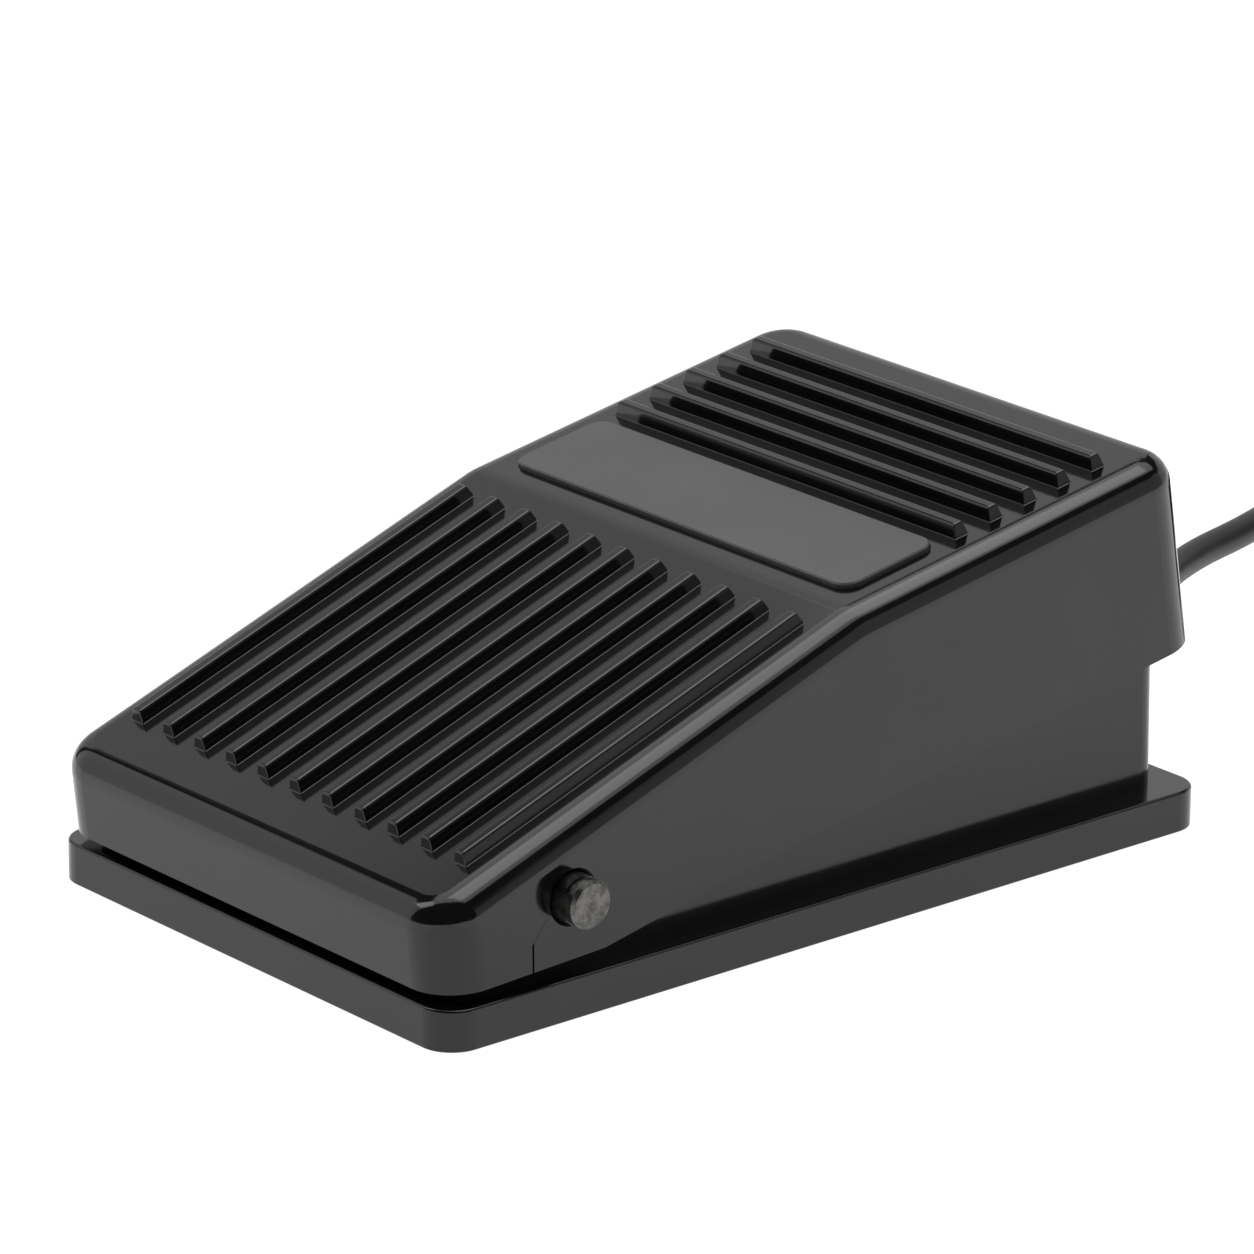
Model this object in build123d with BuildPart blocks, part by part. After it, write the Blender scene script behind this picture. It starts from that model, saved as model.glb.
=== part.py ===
from build123d import *
import os
from math import acos, atan2, cos, degrees, hypot, pi, radians, sin, tan

os.makedirs("parts", exist_ok=True)

# Foot switch lying on its four feet: +X right, +Y to the high end, +Z up, millimetres.
# The origin is on the floor under the middle of the base. The pedal is shown released.

# Base tray
base_length = 100.0
base_width = 62.4
flange_thickness = 4.3
base_corner = 3.6
base_top_round = 0.3
base_bottom_chamfer = 0.1
foot_stands_out = 0.8
foot_thickness = 1.8
foot_radius = 4.5
foot_round = 0.4
foot_gap = 0.1
foot_from_side = 11.2
foot_from_front = 10.0
foot_from_rear = 9.5

# Housing that rises from the tray into the pedal
housing_side_gap = 0.85
housing_from_front = 4.0
housing_from_rear = 3.4
housing_rear_lean = 0.5
housing_corner = 2.4
housing_wall = 2.0
pocket_count = 3
pocket_web = 2.2
core_step = 3.0
barrel_back = 8.5
top_room = 3.0
stop_gap = 0.35
step_gap = 0.5
window_side_gap = 1.5
window_front_gap = 4.2
window_back_gap = 4.6
window_corner = 1.0
window_cut = 12.0
cut_past = 1.0

# Pedal, drawn square in its own frame with the hinge axis as origin
pedal_side_inset = 0.45
pedal_wall = 2.2
pedal_corner = 5.0
pedal_edge_round = 3.0
knee_round = 8.0
nose_top_reach = 16.15
nose_top = 4.27
nose_bottom_reach = 16.55
nose_bottom = -4.35
knee_reach = 39.2
knee_top = 14.25
tail_from_rear = 0.2
tail_top = 14.8
skirt_bottom = -6.08
skirt_kink = 3.0
skirt_kink_bottom = -6.75
skirt_level_from = 22.0
core_past_skirt = 10.0
pivot_from_front = 15.9
pivot_above_tray = 12.4
rest_tilt = 9.5
pedal_travel = 7.0
stiffener_from_side = 10.25
stiffener_start = 10.0
stiffener_sink = 0.5
stiffener_thickness = 1.4
stiffener_depth = 1.8

# Grip ribs and name plate on the treads
rib_height = 1.8
rib_width = 1.9
rib_draft = 8.0
rib_sink = 0.3
rib_top_round = 0.45
long_rib_count = 11
long_rib_margin = 4.35
long_rib_length = 45.2
long_rib_from_knee = 3.6
cross_rib_count = 5
cross_rib_margin = 4.65
cross_rib_from_knee = 17.85
cross_rib_from_tail = 8.1
plate_margin = 4.95
plate_width = 12.3
plate_from_knee = 8.75
plate_thickness = 1.0
plate_stands_out = 0.6
plate_corner = 2.0
plate_clearance = 0.1
plate_edge = 0.15

# Hinge pin
pin_radius = 2.5
pin_stands_out = 2.9
pin_chamfer = 0.35
pin_groove_from_end = 1.3
pin_groove_width = 0.7
pin_groove_depth = 0.25
pin_running_clearance = 0.08
pin_press = 0.01
pin_hole_chamfer = 0.35
split_width = 0.25
split_depth = 0.6
split_points = [(-3.45, -0.95), (-5.45, -2.75), (-6.15, -7.5)]

# Bottom plate and its screws
bottom_thickness = 2.0
bottom_border = 3.0
bottom_corner = 2.5
bottom_clearance = 0.15
bottom_screw_from_front = 24.0
bottom_screw_from_rear = 14.6
bottom_screw_radius = 1.3
bottom_head_radius = 2.4
bottom_head_height = 1.5
bottom_screw_length = 9.0
pilot_gap = 0.02
pilot_spare = 0.5
screw_hole_gap = 0.15
head_gap = 0.2
plate_skin = 0.8
boss_radius = 3.4
boss_sink = 0.2
collar_radius = 3.0
boss_height = 9.5
collar_height = 1.2

# Circuit board and what it carries
board_width = 36.0
board_front = -17.0
board_past_header = 2.0
board_corner = 1.5
board_thickness = 1.6
board_standoff = 1.6
board_screw_x = 15.4
board_screw_from_end = 2.6
board_screw_radius = 0.95
board_screw_length = 3.8
board_head_radius = 1.9
board_head_height = 1.2
standoff_radius = 2.3

# Snap switch standing on the board
switch_length = 19.8
switch_width = 6.4
switch_height = 10.2
switch_cover_thickness = 1.3
switch_middle_y = -3.4
lever_hinge_y = 4.4
lever_width = 4.2
lever_thickness = 0.4
lever_reach = 16.0
lever_above_case = 1.15
lever_eye_radius = 0.85
lever_pin_radius = 0.4
lever_pin_clearance = 0.06
plunger_from_hinge = 4.1
plunger_radius = 1.1
plunger_clearance = 0.3
plunger_slack = 0.1
post_tip_radius = 1.5
post_from_hinge = 12.4
post_clearance = 0.35
post_width = 5.0
post_thickness = 3.0
post_sink = 0.6
terminal_length = 2.7
terminal_width = 1.8
terminal_thickness = 0.6
terminal_spread = 7.4
terminal_gap = 0.15
mounting_spread = 4.75
mounting_height = 2.9
mounting_radius = 1.2
ear_radius = 1.4
ear_sink = 0.6
ear_gap = 0.2
plunger_bore_depth = 3.6
plunger_in_case = 2.0
plunger_round = 0.5
switch_corner = 0.5

# Chip, crystal, small chip parts and can on the board
chip_x = 10.6
chip_y = -3.0
chip_width = 3.9
chip_length = 9.9
chip_height = 1.4
chip_lift = 0.15
chip_chamfer = 0.2
chip_dot_radius = 0.35
chip_dot_depth = 0.1
chip_dot_inset = 0.9
chip_lead_count = 8
chip_lead_pitch = 1.27
chip_lead_width = 0.42
chip_lead_thickness = 0.2
chip_lead_root = 0.85
chip_lead_sink = 0.1
chip_lead_bend = 0.45
chip_lead_toe = 1.05
crystal_x = -10.0
crystal_y = -4.0
crystal_length = 10.4
crystal_width = 3.9
crystal_height = 3.0
crystal_round = 0.4
crystal_flange = 0.5
crystal_flange_thickness = 0.5
small_part_length = 2.0
small_part_width = 1.25
small_part_cap = 0.45
small_part_step = 0.05
capacitor_height = 0.9
capacitor_places = [(9.0, 6.0), (9.0, 9.0), (9.0, 12.0), (-9.5, 4.5), (13.5, 6.0)]
resistor_height = 0.55
resistor_places = [(-14.5, 4.0), (-14.5, 7.0), (-14.5, 10.0), (13.5, 9.0)]
can_x = -10.0
can_y = 14.0
can_radius = 2.5
can_height = 7.0
can_round = 0.35
can_neck_height = 0.9
can_neck_width = 0.5
can_neck_depth = 0.2

# Header on the board, the plug in it and the cores
header_from_lead = 11.0
header_width = 9.9
header_length = 6.0
header_height = 4.8
header_wall = 0.8
way_count = 4
way_pitch = 2.0
plug_fit = 0.1
plug_end_gap = 0.05
plug_past_header = 2.2
way_slot_width = 1.1
way_slot_height = 0.7
way_slot_depth = 1.6
way_slot_up = 0.9
core_down = 0.4
core_radius = 0.48
core_sink = 0.15
core_offsets = [(-0.6, 0.6), (-0.6, -0.6), (0.6, -0.6), (0.6, 0.6)]

# Return spring and its seats
spring_from_rear = 18.6
spring_radius = 4.4
spring_wire = 1.1
spring_turns = 6.5
spring_end_gap = 0.3
cup_radius = 6.4
cup_depth = 8.0
cup_wall = 1.6
cup_rim_drop = 0.8
peg_radius = 3.1
peg_height = 2.6
peg_draft = 4.0
pad_radius = 5.5
pad_below_skin = 1.2
pad_sink = 2.0
pad_peg_radius = 2.4
pad_peg_height = 2.0

# Rubber stops under the pedal's tail
bumper_radius = 3.5
bumper_x = 14.0
bumper_from_rear = 6.0
bumper_recess = 0.8
bumper_round = 0.5
bumper_side_gap = 0.1
bumper_gap = 0.3

# Lead: grommet, clamp and the stretch inside the housing
cable_radius = 1.75
cable_above_tray = 2.5
boot_radius = 2.42
boot_tip_radius = 2.15
boot_stands_out = 4.4
boot_shoulder = 0.8
boot_gap = 0.02
boot_ring_count = 3
boot_ring_first = 1.4
boot_ring_pitch = 1.15
boot_ring_width = 0.45
boot_ring_depth = 0.25
boot_inner_flange = 3.4
boot_inner_thickness = 1.2
boot_bore_press = 0.03
tail_before_clamp = 6.0
clamp_from_rear = 9.6
clamp_half_gap = 0.6
clamp_corner = 1.2
clamp_width = 6.0
clamp_thickness = 2.4
clamp_screw_x = 6.0
clamp_screw_radius = 1.1
clamp_screw_length = 7.0
clamp_head_radius = 2.0
clamp_head_height = 1.3
saddle_width = 17.0
clamp_press = 0.05

# Free lead, its coil and the plug
lead_points = [
    (0.0, 60.5, 7.6),
    (-3.8, 71.5, 5.4),
    (-13.0, 82.5, 2.6),
    (-22.5, 93.5, 1.85),
    (-29.2, 106.0, 1.76),
    (-32.2, 119.2, 1.76),
    (-37.2, 132.0, 1.78),
    (-41.2, 144.5, 2.0),
    (-43.4, 157.0, 2.5),
]
coil_x = -19.0
coil_y = 165.0
coil_mean_radius = 20.8
coil_half_width = 5.7
coil_height = 15.4
coil_corner = 1.7
tie_thickness = 0.8
tie_width = 7.0
tie_angle = 60.0
plug_lead_points = [(5.5, 156.0, 3.2), (5.6, 149.0, 3.95), (5.6, 143.0, 3.95)]
plug_x = 5.6
plug_back_y = 143.0
plug_body_length = 30.0
plug_body_width = 15.6
plug_body_height = 7.9
plug_shell_length = 14.0
plug_shell_width = 12.0
plug_shell_height = 4.5
plug_shell_wall = 0.35
plug_shell_corner = 0.5
plug_neck_length = 8.0
plug_neck_width = 5.4
plug_neck_height = 5.0
plug_corner = 2.2
plug_shoulder_x = 2.0
plug_shoulder_z = 0.5
grip_count = 4
grip_first = 4.0
grip_pitch = 2.2
grip_width = 1.0
grip_depth = 0.6
latch_hole = 2.3
latch_spread = 5.2
latch_from_front = 6.2
tongue_thickness = 1.8
tongue_inset = 0.4
tongue_root = 2.0
tongue_side_gap = 0.05
contact_count = 4
contact_pitch = 2.25
contact_width = 1.0
contact_length = 9.0
contact_thickness = 0.15
contact_from_front = 6.6

# Places that follow from the sizes above
pedal_width = base_width - 2 * pedal_side_inset
housing_width = pedal_width - 2 * (pedal_wall + housing_side_gap)
housing_front = -base_length / 2 + housing_from_front
housing_rear = base_length / 2 - housing_from_rear
pivot_y = -base_length / 2 + pivot_from_front
tail_reach = base_length - pivot_from_front - tail_from_rear
stiffener_offset = pedal_width / 2 - stiffener_from_side
long_rib_pitch = (pedal_width - 2 * long_rib_margin - rib_width) / (long_rib_count - 1)
cross_rib_length = pedal_width - 2 * cross_rib_margin
cross_rib_span = hypot(tail_reach - knee_reach, tail_top - knee_top) - cross_rib_from_knee - cross_rib_from_tail
cross_rib_pitch = cross_rib_span / (cross_rib_count - 1)
plate_length = pedal_width - 2 * plate_margin
pin_length = pedal_width + 2 * pin_stands_out
foot_x = base_width / 2 - foot_from_side
foot_ys = [-base_length / 2 + foot_from_front, base_length / 2 - foot_from_rear]
foot_places = [(side * foot_x, y) for side in (-1, 1) for y in foot_ys]
bottom_screw_x = housing_width / 2 - housing_wall - boss_radius + boss_sink
bottom_screw_ys = [housing_front + bottom_screw_from_front, housing_rear - bottom_screw_from_rear]
spring_y = housing_rear - spring_from_rear
bumper_y = housing_rear - bumper_from_rear
clamp_y = housing_rear - clamp_from_rear
tail_start_y = clamp_y - tail_before_clamp
boot_end_y = housing_rear + boot_stands_out
header_y = tail_start_y - header_from_lead
board_rear = header_y + header_length / 2 + board_past_header
board_length = board_rear - board_front
board_middle_y = (board_rear + board_front) / 2
tray_bottom = foot_stands_out
tray_top = tray_bottom + flange_thickness
pivot_z = tray_bottom + pivot_above_tray
pressed_tilt = rest_tilt - pedal_travel
bottom_top = tray_bottom + bottom_thickness
board_bottom = bottom_top + board_standoff
board_top = board_bottom + board_thickness
switch_top = board_top + switch_height
lever_hinge_z = switch_top + lever_above_case
cable_z = tray_top + cable_above_tray


def side_plane(tilt):
    """Plane across the hinge axis, its first axis tilted up by tilt degrees towards the tail."""
    along = (0, cos(radians(tilt)), sin(radians(tilt)))
    return Plane(origin=(0, pivot_y, pivot_z), x_dir=along, z_dir=(1, 0, 0))


def turned(y, z, about_y, about_z, angle):
    """Point (y, z) turned about another by angle degrees, from +Y towards +Z."""
    a = radians(angle)
    dy = y - about_y
    dz = z - about_z
    return about_y + dy * cos(a) - dz * sin(a), about_z + dy * sin(a) + dz * cos(a)


def side_yz(plane, reach, height):
    """Y and Z of a point given in a side plane."""
    place = plane.from_local_coords(Vector(reach, height, 0))
    return place.Y, place.Z


def edges_along(part, direction, least=0.99):
    """Edges of a part that run along a direction."""
    return part.edges().filter_by(
        lambda e: abs(e.tangent_at(0.5).dot(Vector(*direction))) > least
    )


rest_side = side_plane(rest_tilt)
pressed_side = side_plane(pressed_tilt)
pedal_up = rest_side.y_dir
knee_y, knee_z = side_yz(rest_side, knee_reach, knee_top)

# Slopes of the two treads in the pedal's own frame
front_slope = degrees(atan2(knee_top - nose_top, knee_reach + nose_top_reach))
rear_slope = degrees(atan2(tail_top - knee_top, tail_reach - knee_reach))


def under_skin(reach, gap):
    """Height in the pedal's frame of a line that lies gap below the inside of its skin."""
    slope = front_slope if reach < knee_reach else rear_slope
    line = knee_top + (reach - knee_reach) * tan(radians(slope))
    return line - (pedal_wall + gap) / cos(radians(slope))


def tread_plane(slope):
    """Plane on a tread, its second axis running from the knee to the tail."""
    a = radians(rest_tilt + slope)
    return Plane(origin=(0, knee_y, knee_z), x_dir=(1, 0, 0), z_dir=(0, -sin(a), cos(a)))


front_tread = tread_plane(front_slope)
rear_tread = tread_plane(rear_slope)

# Snap switch lever: it lies level when the pedal is fully down and rests raised by lever_rise
lever_to_tip = lever_thickness / 2 + post_clearance + post_tip_radius
tip_pressed_y = lever_hinge_y - post_from_hinge
tip_pressed_z = lever_hinge_z + lever_to_tip
tip_y, tip_z = turned(tip_pressed_y, tip_pressed_z, pivot_y, pivot_z, pedal_travel)
tip_back = lever_hinge_y - tip_y
tip_up = tip_z - lever_hinge_z
lever_rise = degrees(
    acos(lever_to_tip / hypot(tip_back, tip_up)) - atan2(tip_back, tip_up)
)
plunger_travel = plunger_from_hinge * tan(radians(lever_rise)) - plunger_slack
plunger_top_pressed = lever_hinge_z - lever_thickness / 2 - plunger_clearance
plunger_top = plunger_top_pressed + plunger_travel

# Return spring seats
cup_mouth_reach = (spring_y - pivot_y) / cos(radians(pressed_tilt))
cup_mouth_z = side_yz(pressed_side, cup_mouth_reach, under_skin(cup_mouth_reach, top_room))[1]
spring_seat_z = cup_mouth_z - cup_depth
skin_reach = rest_side.to_local_coords(Vector(0, spring_y, knee_z + 2.0)).X
skin_z_at_spring = side_yz(rest_side, skin_reach, under_skin(skin_reach, 0))[1]
pad_z = skin_z_at_spring - pad_below_skin
spring_top_z = pad_z - spring_end_gap
pad_swing = turned(spring_y, pad_z, pivot_y, pivot_z, -pedal_travel)[0] - spring_y

print("lever rise, degrees", round(lever_rise, 3), "ratio", round(lever_rise / pedal_travel, 4))
print("plunger travel, mm", round(plunger_travel, 3))
print("spring from", round(spring_seat_z, 2), "to", round(spring_top_z, 2))


# Base housing: tray flange with the hollow housing standing on it, one moulding
barrel_radius = (
    (nose_top + nose_top_reach * tan(radians(front_slope))) * cos(radians(front_slope))
    - pedal_wall - stop_gap
)
rest_normal = radians(90 + rest_tilt + front_slope)
pressed_normal = radians(90 + pressed_tilt + front_slope)


def barrel_point(angle):
    """Point on the barrel's outline, angle in radians from +Y."""
    return pivot_y + barrel_radius * cos(angle), pivot_z + barrel_radius * sin(angle)


def below_rest(reach, gap):
    """Y and Z of a point that lies gap below the released pedal's skin."""
    return side_yz(rest_side, reach, under_skin(reach, gap))


def below_pressed(reach, gap):
    """Y and Z of a point that lies gap below the skin of the pedal when it is fully down."""
    return side_yz(pressed_side, reach, under_skin(reach, gap))


front_top = below_rest(housing_front - pivot_y, stop_gap)
front_foot = (front_top[0], tray_bottom)
middle_normal = (rest_normal + pressed_normal) / 2
step_reach = barrel_back + step_gap
step_top = below_pressed(barrel_back, stop_gap)
step_foot = below_pressed(step_reach, top_room)
ceiling_bend = below_pressed(knee_reach, top_room)
rear_reach = housing_rear - pivot_y
rear_top = (housing_rear - housing_rear_lean, below_pressed(rear_reach, top_room)[1])

with BuildPart() as housing_block:
    with BuildSketch(Plane.YZ):
        with BuildLine():
            Line(front_foot, front_top)
            Line(front_top, barrel_point(rest_normal))
            ThreePointArc(
                barrel_point(rest_normal), barrel_point(middle_normal), barrel_point(pressed_normal)
            )
            Polyline(
                barrel_point(pressed_normal), step_top, step_foot, ceiling_bend,
                rear_top, (housing_rear, tray_bottom), front_foot,
            )
        make_face()
    extrude(amount=housing_width / 2, both=True)
    fillet(edges_along(housing_block, (0, 0, 1)), housing_corner)

core_room = top_room + housing_wall
core_front = pivot_y + barrel_radius + housing_wall
core_rear = housing_rear - housing_wall
inside_front = below_pressed(step_reach + housing_wall, core_room)
inside_bend = below_pressed(knee_reach, core_room)
inside_rear_z = below_pressed(rear_reach, core_room)[1]

with BuildPart() as housing_core:
    with BuildSketch(Plane.YZ):
        with BuildLine():
            Polyline(
                (core_front, tray_bottom), (core_front, inside_front[1] - core_step), inside_front,
                inside_bend, (core_rear, inside_rear_z), (core_rear, tray_bottom), close=True,
            )
        make_face()
    extrude(amount=housing_width / 2 - housing_wall, both=True)
    fillet(edges_along(housing_core, (0, 0, 1)), housing_corner - housing_wall)

bottom_length = base_length - 2 * bottom_border
bottom_width = base_width - 2 * bottom_border
boss_places = [(side * bottom_screw_x, y) for side in (-1, 1) for y in bottom_screw_ys]
boss_bottom = bottom_top + collar_height
bottom_head_z = tray_bottom + bottom_head_height + head_gap
cup_floor_z = spring_seat_z - cup_wall
window_width = post_width + 2 * window_side_gap
window_front = tip_y - post_thickness / 2 - window_front_gap
window_back = tip_y + post_thickness / 2 + window_back_gap
pocket_width = (housing_width - 2 * housing_wall - (pocket_count - 1) * pocket_web) / pocket_count
pocket_front = housing_front + housing_wall
pocket_back = core_front - housing_wall
ceiling_tilt = radians(pressed_tilt + rear_slope)
bumper_plane = Plane(
    origin=(0, *ceiling_bend), x_dir=(1, 0, 0), z_dir=(0, -sin(ceiling_tilt), cos(ceiling_tilt))
)
bumper_along = (bumper_y - ceiling_bend[0]) / cos(ceiling_tilt)
bumper_places = [(-bumper_x, bumper_along), (bumper_x, bumper_along)]

with BuildPart() as base_housing:
    with BuildSketch(Plane.XY.offset(tray_bottom)):
        RectangleRounded(base_width, base_length, base_corner)
    extrude(amount=flange_thickness)
    chamfer(base_housing.edges().group_by(Axis.Z)[0], base_bottom_chamfer)
    fillet(base_housing.edges().group_by(Axis.Z)[-1], base_top_round)
    add(housing_block.part)
    add(housing_core.part, mode=Mode.SUBTRACT)
    # rebate for the bottom plate
    with BuildSketch(Plane.XY.offset(tray_bottom)):
        RectangleRounded(bottom_width, bottom_length, bottom_corner)
    extrude(amount=bottom_thickness, mode=Mode.SUBTRACT)
    # pockets under the hinge barrel keep the moulding's walls even
    with BuildSketch(Plane.XY.offset(tray_bottom)):
        with Locations((0, (pocket_front + pocket_back) / 2)):
            with GridLocations(pocket_width + pocket_web, 0, pocket_count, 1):
                Rectangle(pocket_width, pocket_back - pocket_front)
    extrude(amount=pivot_z - barrel_radius - tray_bottom, mode=Mode.SUBTRACT)
    # screw bosses on the side walls
    with BuildSketch(Plane.XY.offset(boss_bottom)):
        with Locations(*boss_places):
            Circle(boss_radius)
    extrude(amount=boss_height)
    with BuildSketch(Plane.XY.offset(boss_bottom)):
        with Locations(*boss_places):
            Circle(bottom_screw_radius + pilot_gap)
    extrude(amount=bottom_head_z + bottom_screw_length + pilot_spare - boss_bottom, mode=Mode.SUBTRACT)
    # spring cup hanging from the ceiling, with a locating peg
    with BuildSketch(Plane.XY.offset(cup_floor_z)):
        with Locations((0, spring_y)):
            Circle(cup_radius + cup_wall)
    extrude(amount=cup_mouth_z - cup_rim_drop - cup_floor_z)
    with BuildSketch(Plane.XY.offset(spring_seat_z)):
        with Locations((0, spring_y)):
            Circle(cup_radius)
    extrude(amount=cup_depth + top_room, mode=Mode.SUBTRACT)
    with BuildSketch(Plane.XY.offset(spring_seat_z)):
        with Locations((0, spring_y)):
            Circle(peg_radius)
    extrude(amount=peg_height, taper=peg_draft)
    # window for the pedal's post and the switch lever
    with BuildSketch(Plane.XY.offset(switch_top)):
        with Locations((0, (window_front + window_back) / 2)):
            RectangleRounded(window_width, window_back - window_front, window_corner)
    extrude(amount=window_cut, mode=Mode.SUBTRACT)
    # hinge pin bore through the barrel
    with BuildSketch(Plane.YZ.offset(-housing_width / 2)):
        with Locations((pivot_y, pivot_z)):
            Circle(pin_radius - pin_press)
    extrude(amount=housing_width, mode=Mode.SUBTRACT)
    # cable outlet in the rear wall
    with BuildSketch(Plane.XZ.offset(-housing_rear)):
        with Locations((0, cable_z)):
            Circle(boot_radius)
    extrude(amount=housing_wall + cut_past, mode=Mode.SUBTRACT)
    # recesses for the rubber stops
    with BuildSketch(bumper_plane.offset(-bumper_recess)):
        with Locations(*bumper_places):
            Circle(bumper_radius + bumper_side_gap)
    extrude(amount=bumper_recess + cut_past, mode=Mode.SUBTRACT)

base_housing.part.label = "base_housing"
export_step(base_housing.part, "parts/base_housing.step")


# Bottom plate: closes the tray, carries the board, the cable saddle and the feet
board_screw_ys = [board_front + board_screw_from_end, board_rear - board_screw_from_end]
board_places = [(side * board_screw_x, y) for side in (-1, 1) for y in board_screw_ys]
saddle_top = cable_z - clamp_half_gap
clamp_places = [(-clamp_screw_x, clamp_y), (clamp_screw_x, clamp_y)]

with BuildPart() as bottom_plate:
    with BuildSketch(Plane.XY.offset(tray_bottom)):
        RectangleRounded(
            bottom_width - 2 * bottom_clearance,
            bottom_length - 2 * bottom_clearance,
            bottom_corner - bottom_clearance,
        )
    extrude(amount=bottom_thickness)
    with BuildSketch(Plane.XY.offset(bottom_top)):
        with Locations(*board_places):
            Circle(standoff_radius)
    extrude(amount=board_standoff)
    with BuildSketch(Plane.XY.offset(bottom_top)):
        with Locations(*boss_places):
            Circle(collar_radius)
    extrude(amount=collar_height)
    with BuildSketch(Plane.XY.offset(bottom_top)):
        with Locations((0, clamp_y)):
            RectangleRounded(saddle_width, clamp_width, clamp_corner)
    extrude(amount=saddle_top - bottom_top)
    # saddle groove, pilot holes, screw holes with head recesses, foot recesses
    with BuildSketch(Plane.XZ.offset(-clamp_y - clamp_width)):
        with Locations((0, cable_z)):
            Circle(cable_radius - clamp_press)
    extrude(amount=2 * clamp_width, mode=Mode.SUBTRACT)
    with BuildSketch(Plane.XY.offset(saddle_top)):
        with Locations(*clamp_places):
            Circle(clamp_screw_radius + pilot_gap)
    extrude(amount=-(saddle_top - tray_bottom - plate_skin), mode=Mode.SUBTRACT)
    with BuildSketch(Plane.XY.offset(board_bottom)):
        with Locations(*board_places):
            Circle(board_screw_radius + pilot_gap)
    extrude(amount=-(board_standoff + bottom_thickness - plate_skin), mode=Mode.SUBTRACT)
    with BuildSketch(Plane.XY.offset(tray_bottom)):
        with Locations(*boss_places):
            Circle(bottom_screw_radius + screw_hole_gap)
    extrude(amount=bottom_thickness + collar_height, mode=Mode.SUBTRACT)
    with BuildSketch(Plane.XY.offset(tray_bottom)):
        with Locations(*boss_places):
            Circle(bottom_head_radius + head_gap)
    extrude(amount=bottom_head_height + head_gap, mode=Mode.SUBTRACT)
    with BuildSketch(Plane.XY.offset(tray_bottom)):
        with Locations(*foot_places):
            Circle(foot_radius + foot_gap)
    extrude(amount=foot_thickness - foot_stands_out, mode=Mode.SUBTRACT)

bottom_plate.part.label = "bottom_plate"
export_step(bottom_plate.part, "parts/bottom_plate.step")


def screw_group(places, seat_z, way, head_radius, head_height, shank_radius, length):
    """Pan-head screws seated at one height, driven up (way 1) or down (way -1)."""
    with BuildPart() as screws:
        with BuildSketch(Plane.XY.offset(seat_z)):
            with Locations(*places):
                Circle(shank_radius)
        extrude(amount=way * length)
        with BuildSketch(Plane.XY.offset(seat_z)):
            with Locations(*places):
                Circle(head_radius)
        extrude(amount=-way * head_height, taper=12)
        with BuildSketch(Plane.XY.offset(seat_z - way * head_height)):
            with Locations(*places):
                Rectangle(head_radius * 1.1, head_radius * 0.28)
                Rectangle(head_radius * 0.28, head_radius * 1.1)
        extrude(amount=way * head_height * 0.6, mode=Mode.SUBTRACT)
    return screws.part


# Screws of the bottom plate, driven upwards
bottom_screws = screw_group(
    boss_places, bottom_head_z, 1, bottom_head_radius, bottom_head_height,
    bottom_screw_radius, bottom_screw_length,
)
bottom_screws.label = "bottom_screws"
export_step(bottom_screws, "parts/bottom_screws.step")


# Rubber feet, stuck into the plate's recesses
with BuildPart() as rubber_feet:
    with BuildSketch():
        with Locations(*foot_places):
            Circle(foot_radius)
    extrude(amount=foot_thickness)
    fillet(rubber_feet.edges().group_by(Axis.Z)[0], foot_round)

rubber_feet.part.label = "rubber_feet"
export_step(rubber_feet.part, "parts/rubber_feet.step")


# Hinge pin: ground steel rod pressed into the barrel, grooved near both ends
with BuildPart() as pivot_pin:
    with BuildSketch(Plane.YZ.offset(-pin_length / 2)):
        with Locations((pivot_y, pivot_z)):
            Circle(pin_radius)
    extrude(amount=pin_length)
    chamfer(pivot_pin.edges().filter_by(GeomType.CIRCLE), pin_chamfer)
    for side in (-1, 1):
        with BuildSketch(Plane.YZ.offset(side * (pin_length / 2 - pin_groove_from_end))):
            with Locations((pivot_y, pivot_z)):
                Circle(pin_radius + cut_past)
                Circle(pin_radius - pin_groove_depth, mode=Mode.SUBTRACT)
        extrude(amount=pin_groove_width / 2, both=True, mode=Mode.SUBTRACT)

pivot_pin.part.label = "pivot_pin"
export_step(pivot_pin.part, "parts/pivot_pin.step")


# Rubber stops that meet the pedal when it is fully down
with BuildPart() as bumper_pads:
    with BuildSketch(bumper_plane.offset(-bumper_recess)):
        with Locations(*bumper_places):
            Circle(bumper_radius)
    extrude(amount=bumper_recess + top_room - bumper_gap)
    fillet(bumper_pads.edges().filter_by(GeomType.CIRCLE).group_by(Axis.Z)[-1], bumper_round)

bumper_pads.part.label = "bumper_pads"
export_step(bumper_pads.part, "parts/bumper_pads.step")


# Pedal cover: a thin moulded shell, open below, with ribbed treads
def nose_reach(height):
    """How far the leaning nose reaches in front of the hinge axis at a height."""
    lean = (nose_bottom_reach - nose_top_reach) / (nose_top - nose_bottom)
    return nose_top_reach + (nose_top - height) * lean


def pedal_outline(lower_edge):
    """Corners of the pedal's side view in its own frame, its lower edge given from tail to nose."""
    return [(-nose_top_reach, nose_top), (knee_reach, knee_top), (tail_reach, tail_top), *lower_edge]


core_bottom = skirt_bottom - core_past_skirt
core_edge = [(tail_reach, core_bottom), (-nose_reach(core_bottom), core_bottom)]
skirt_edge = [
    (tail_reach, skirt_bottom),
    (skirt_level_from, skirt_bottom),
    (skirt_kink, skirt_kink_bottom),
    (-nose_bottom_reach, nose_bottom),
]

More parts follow.
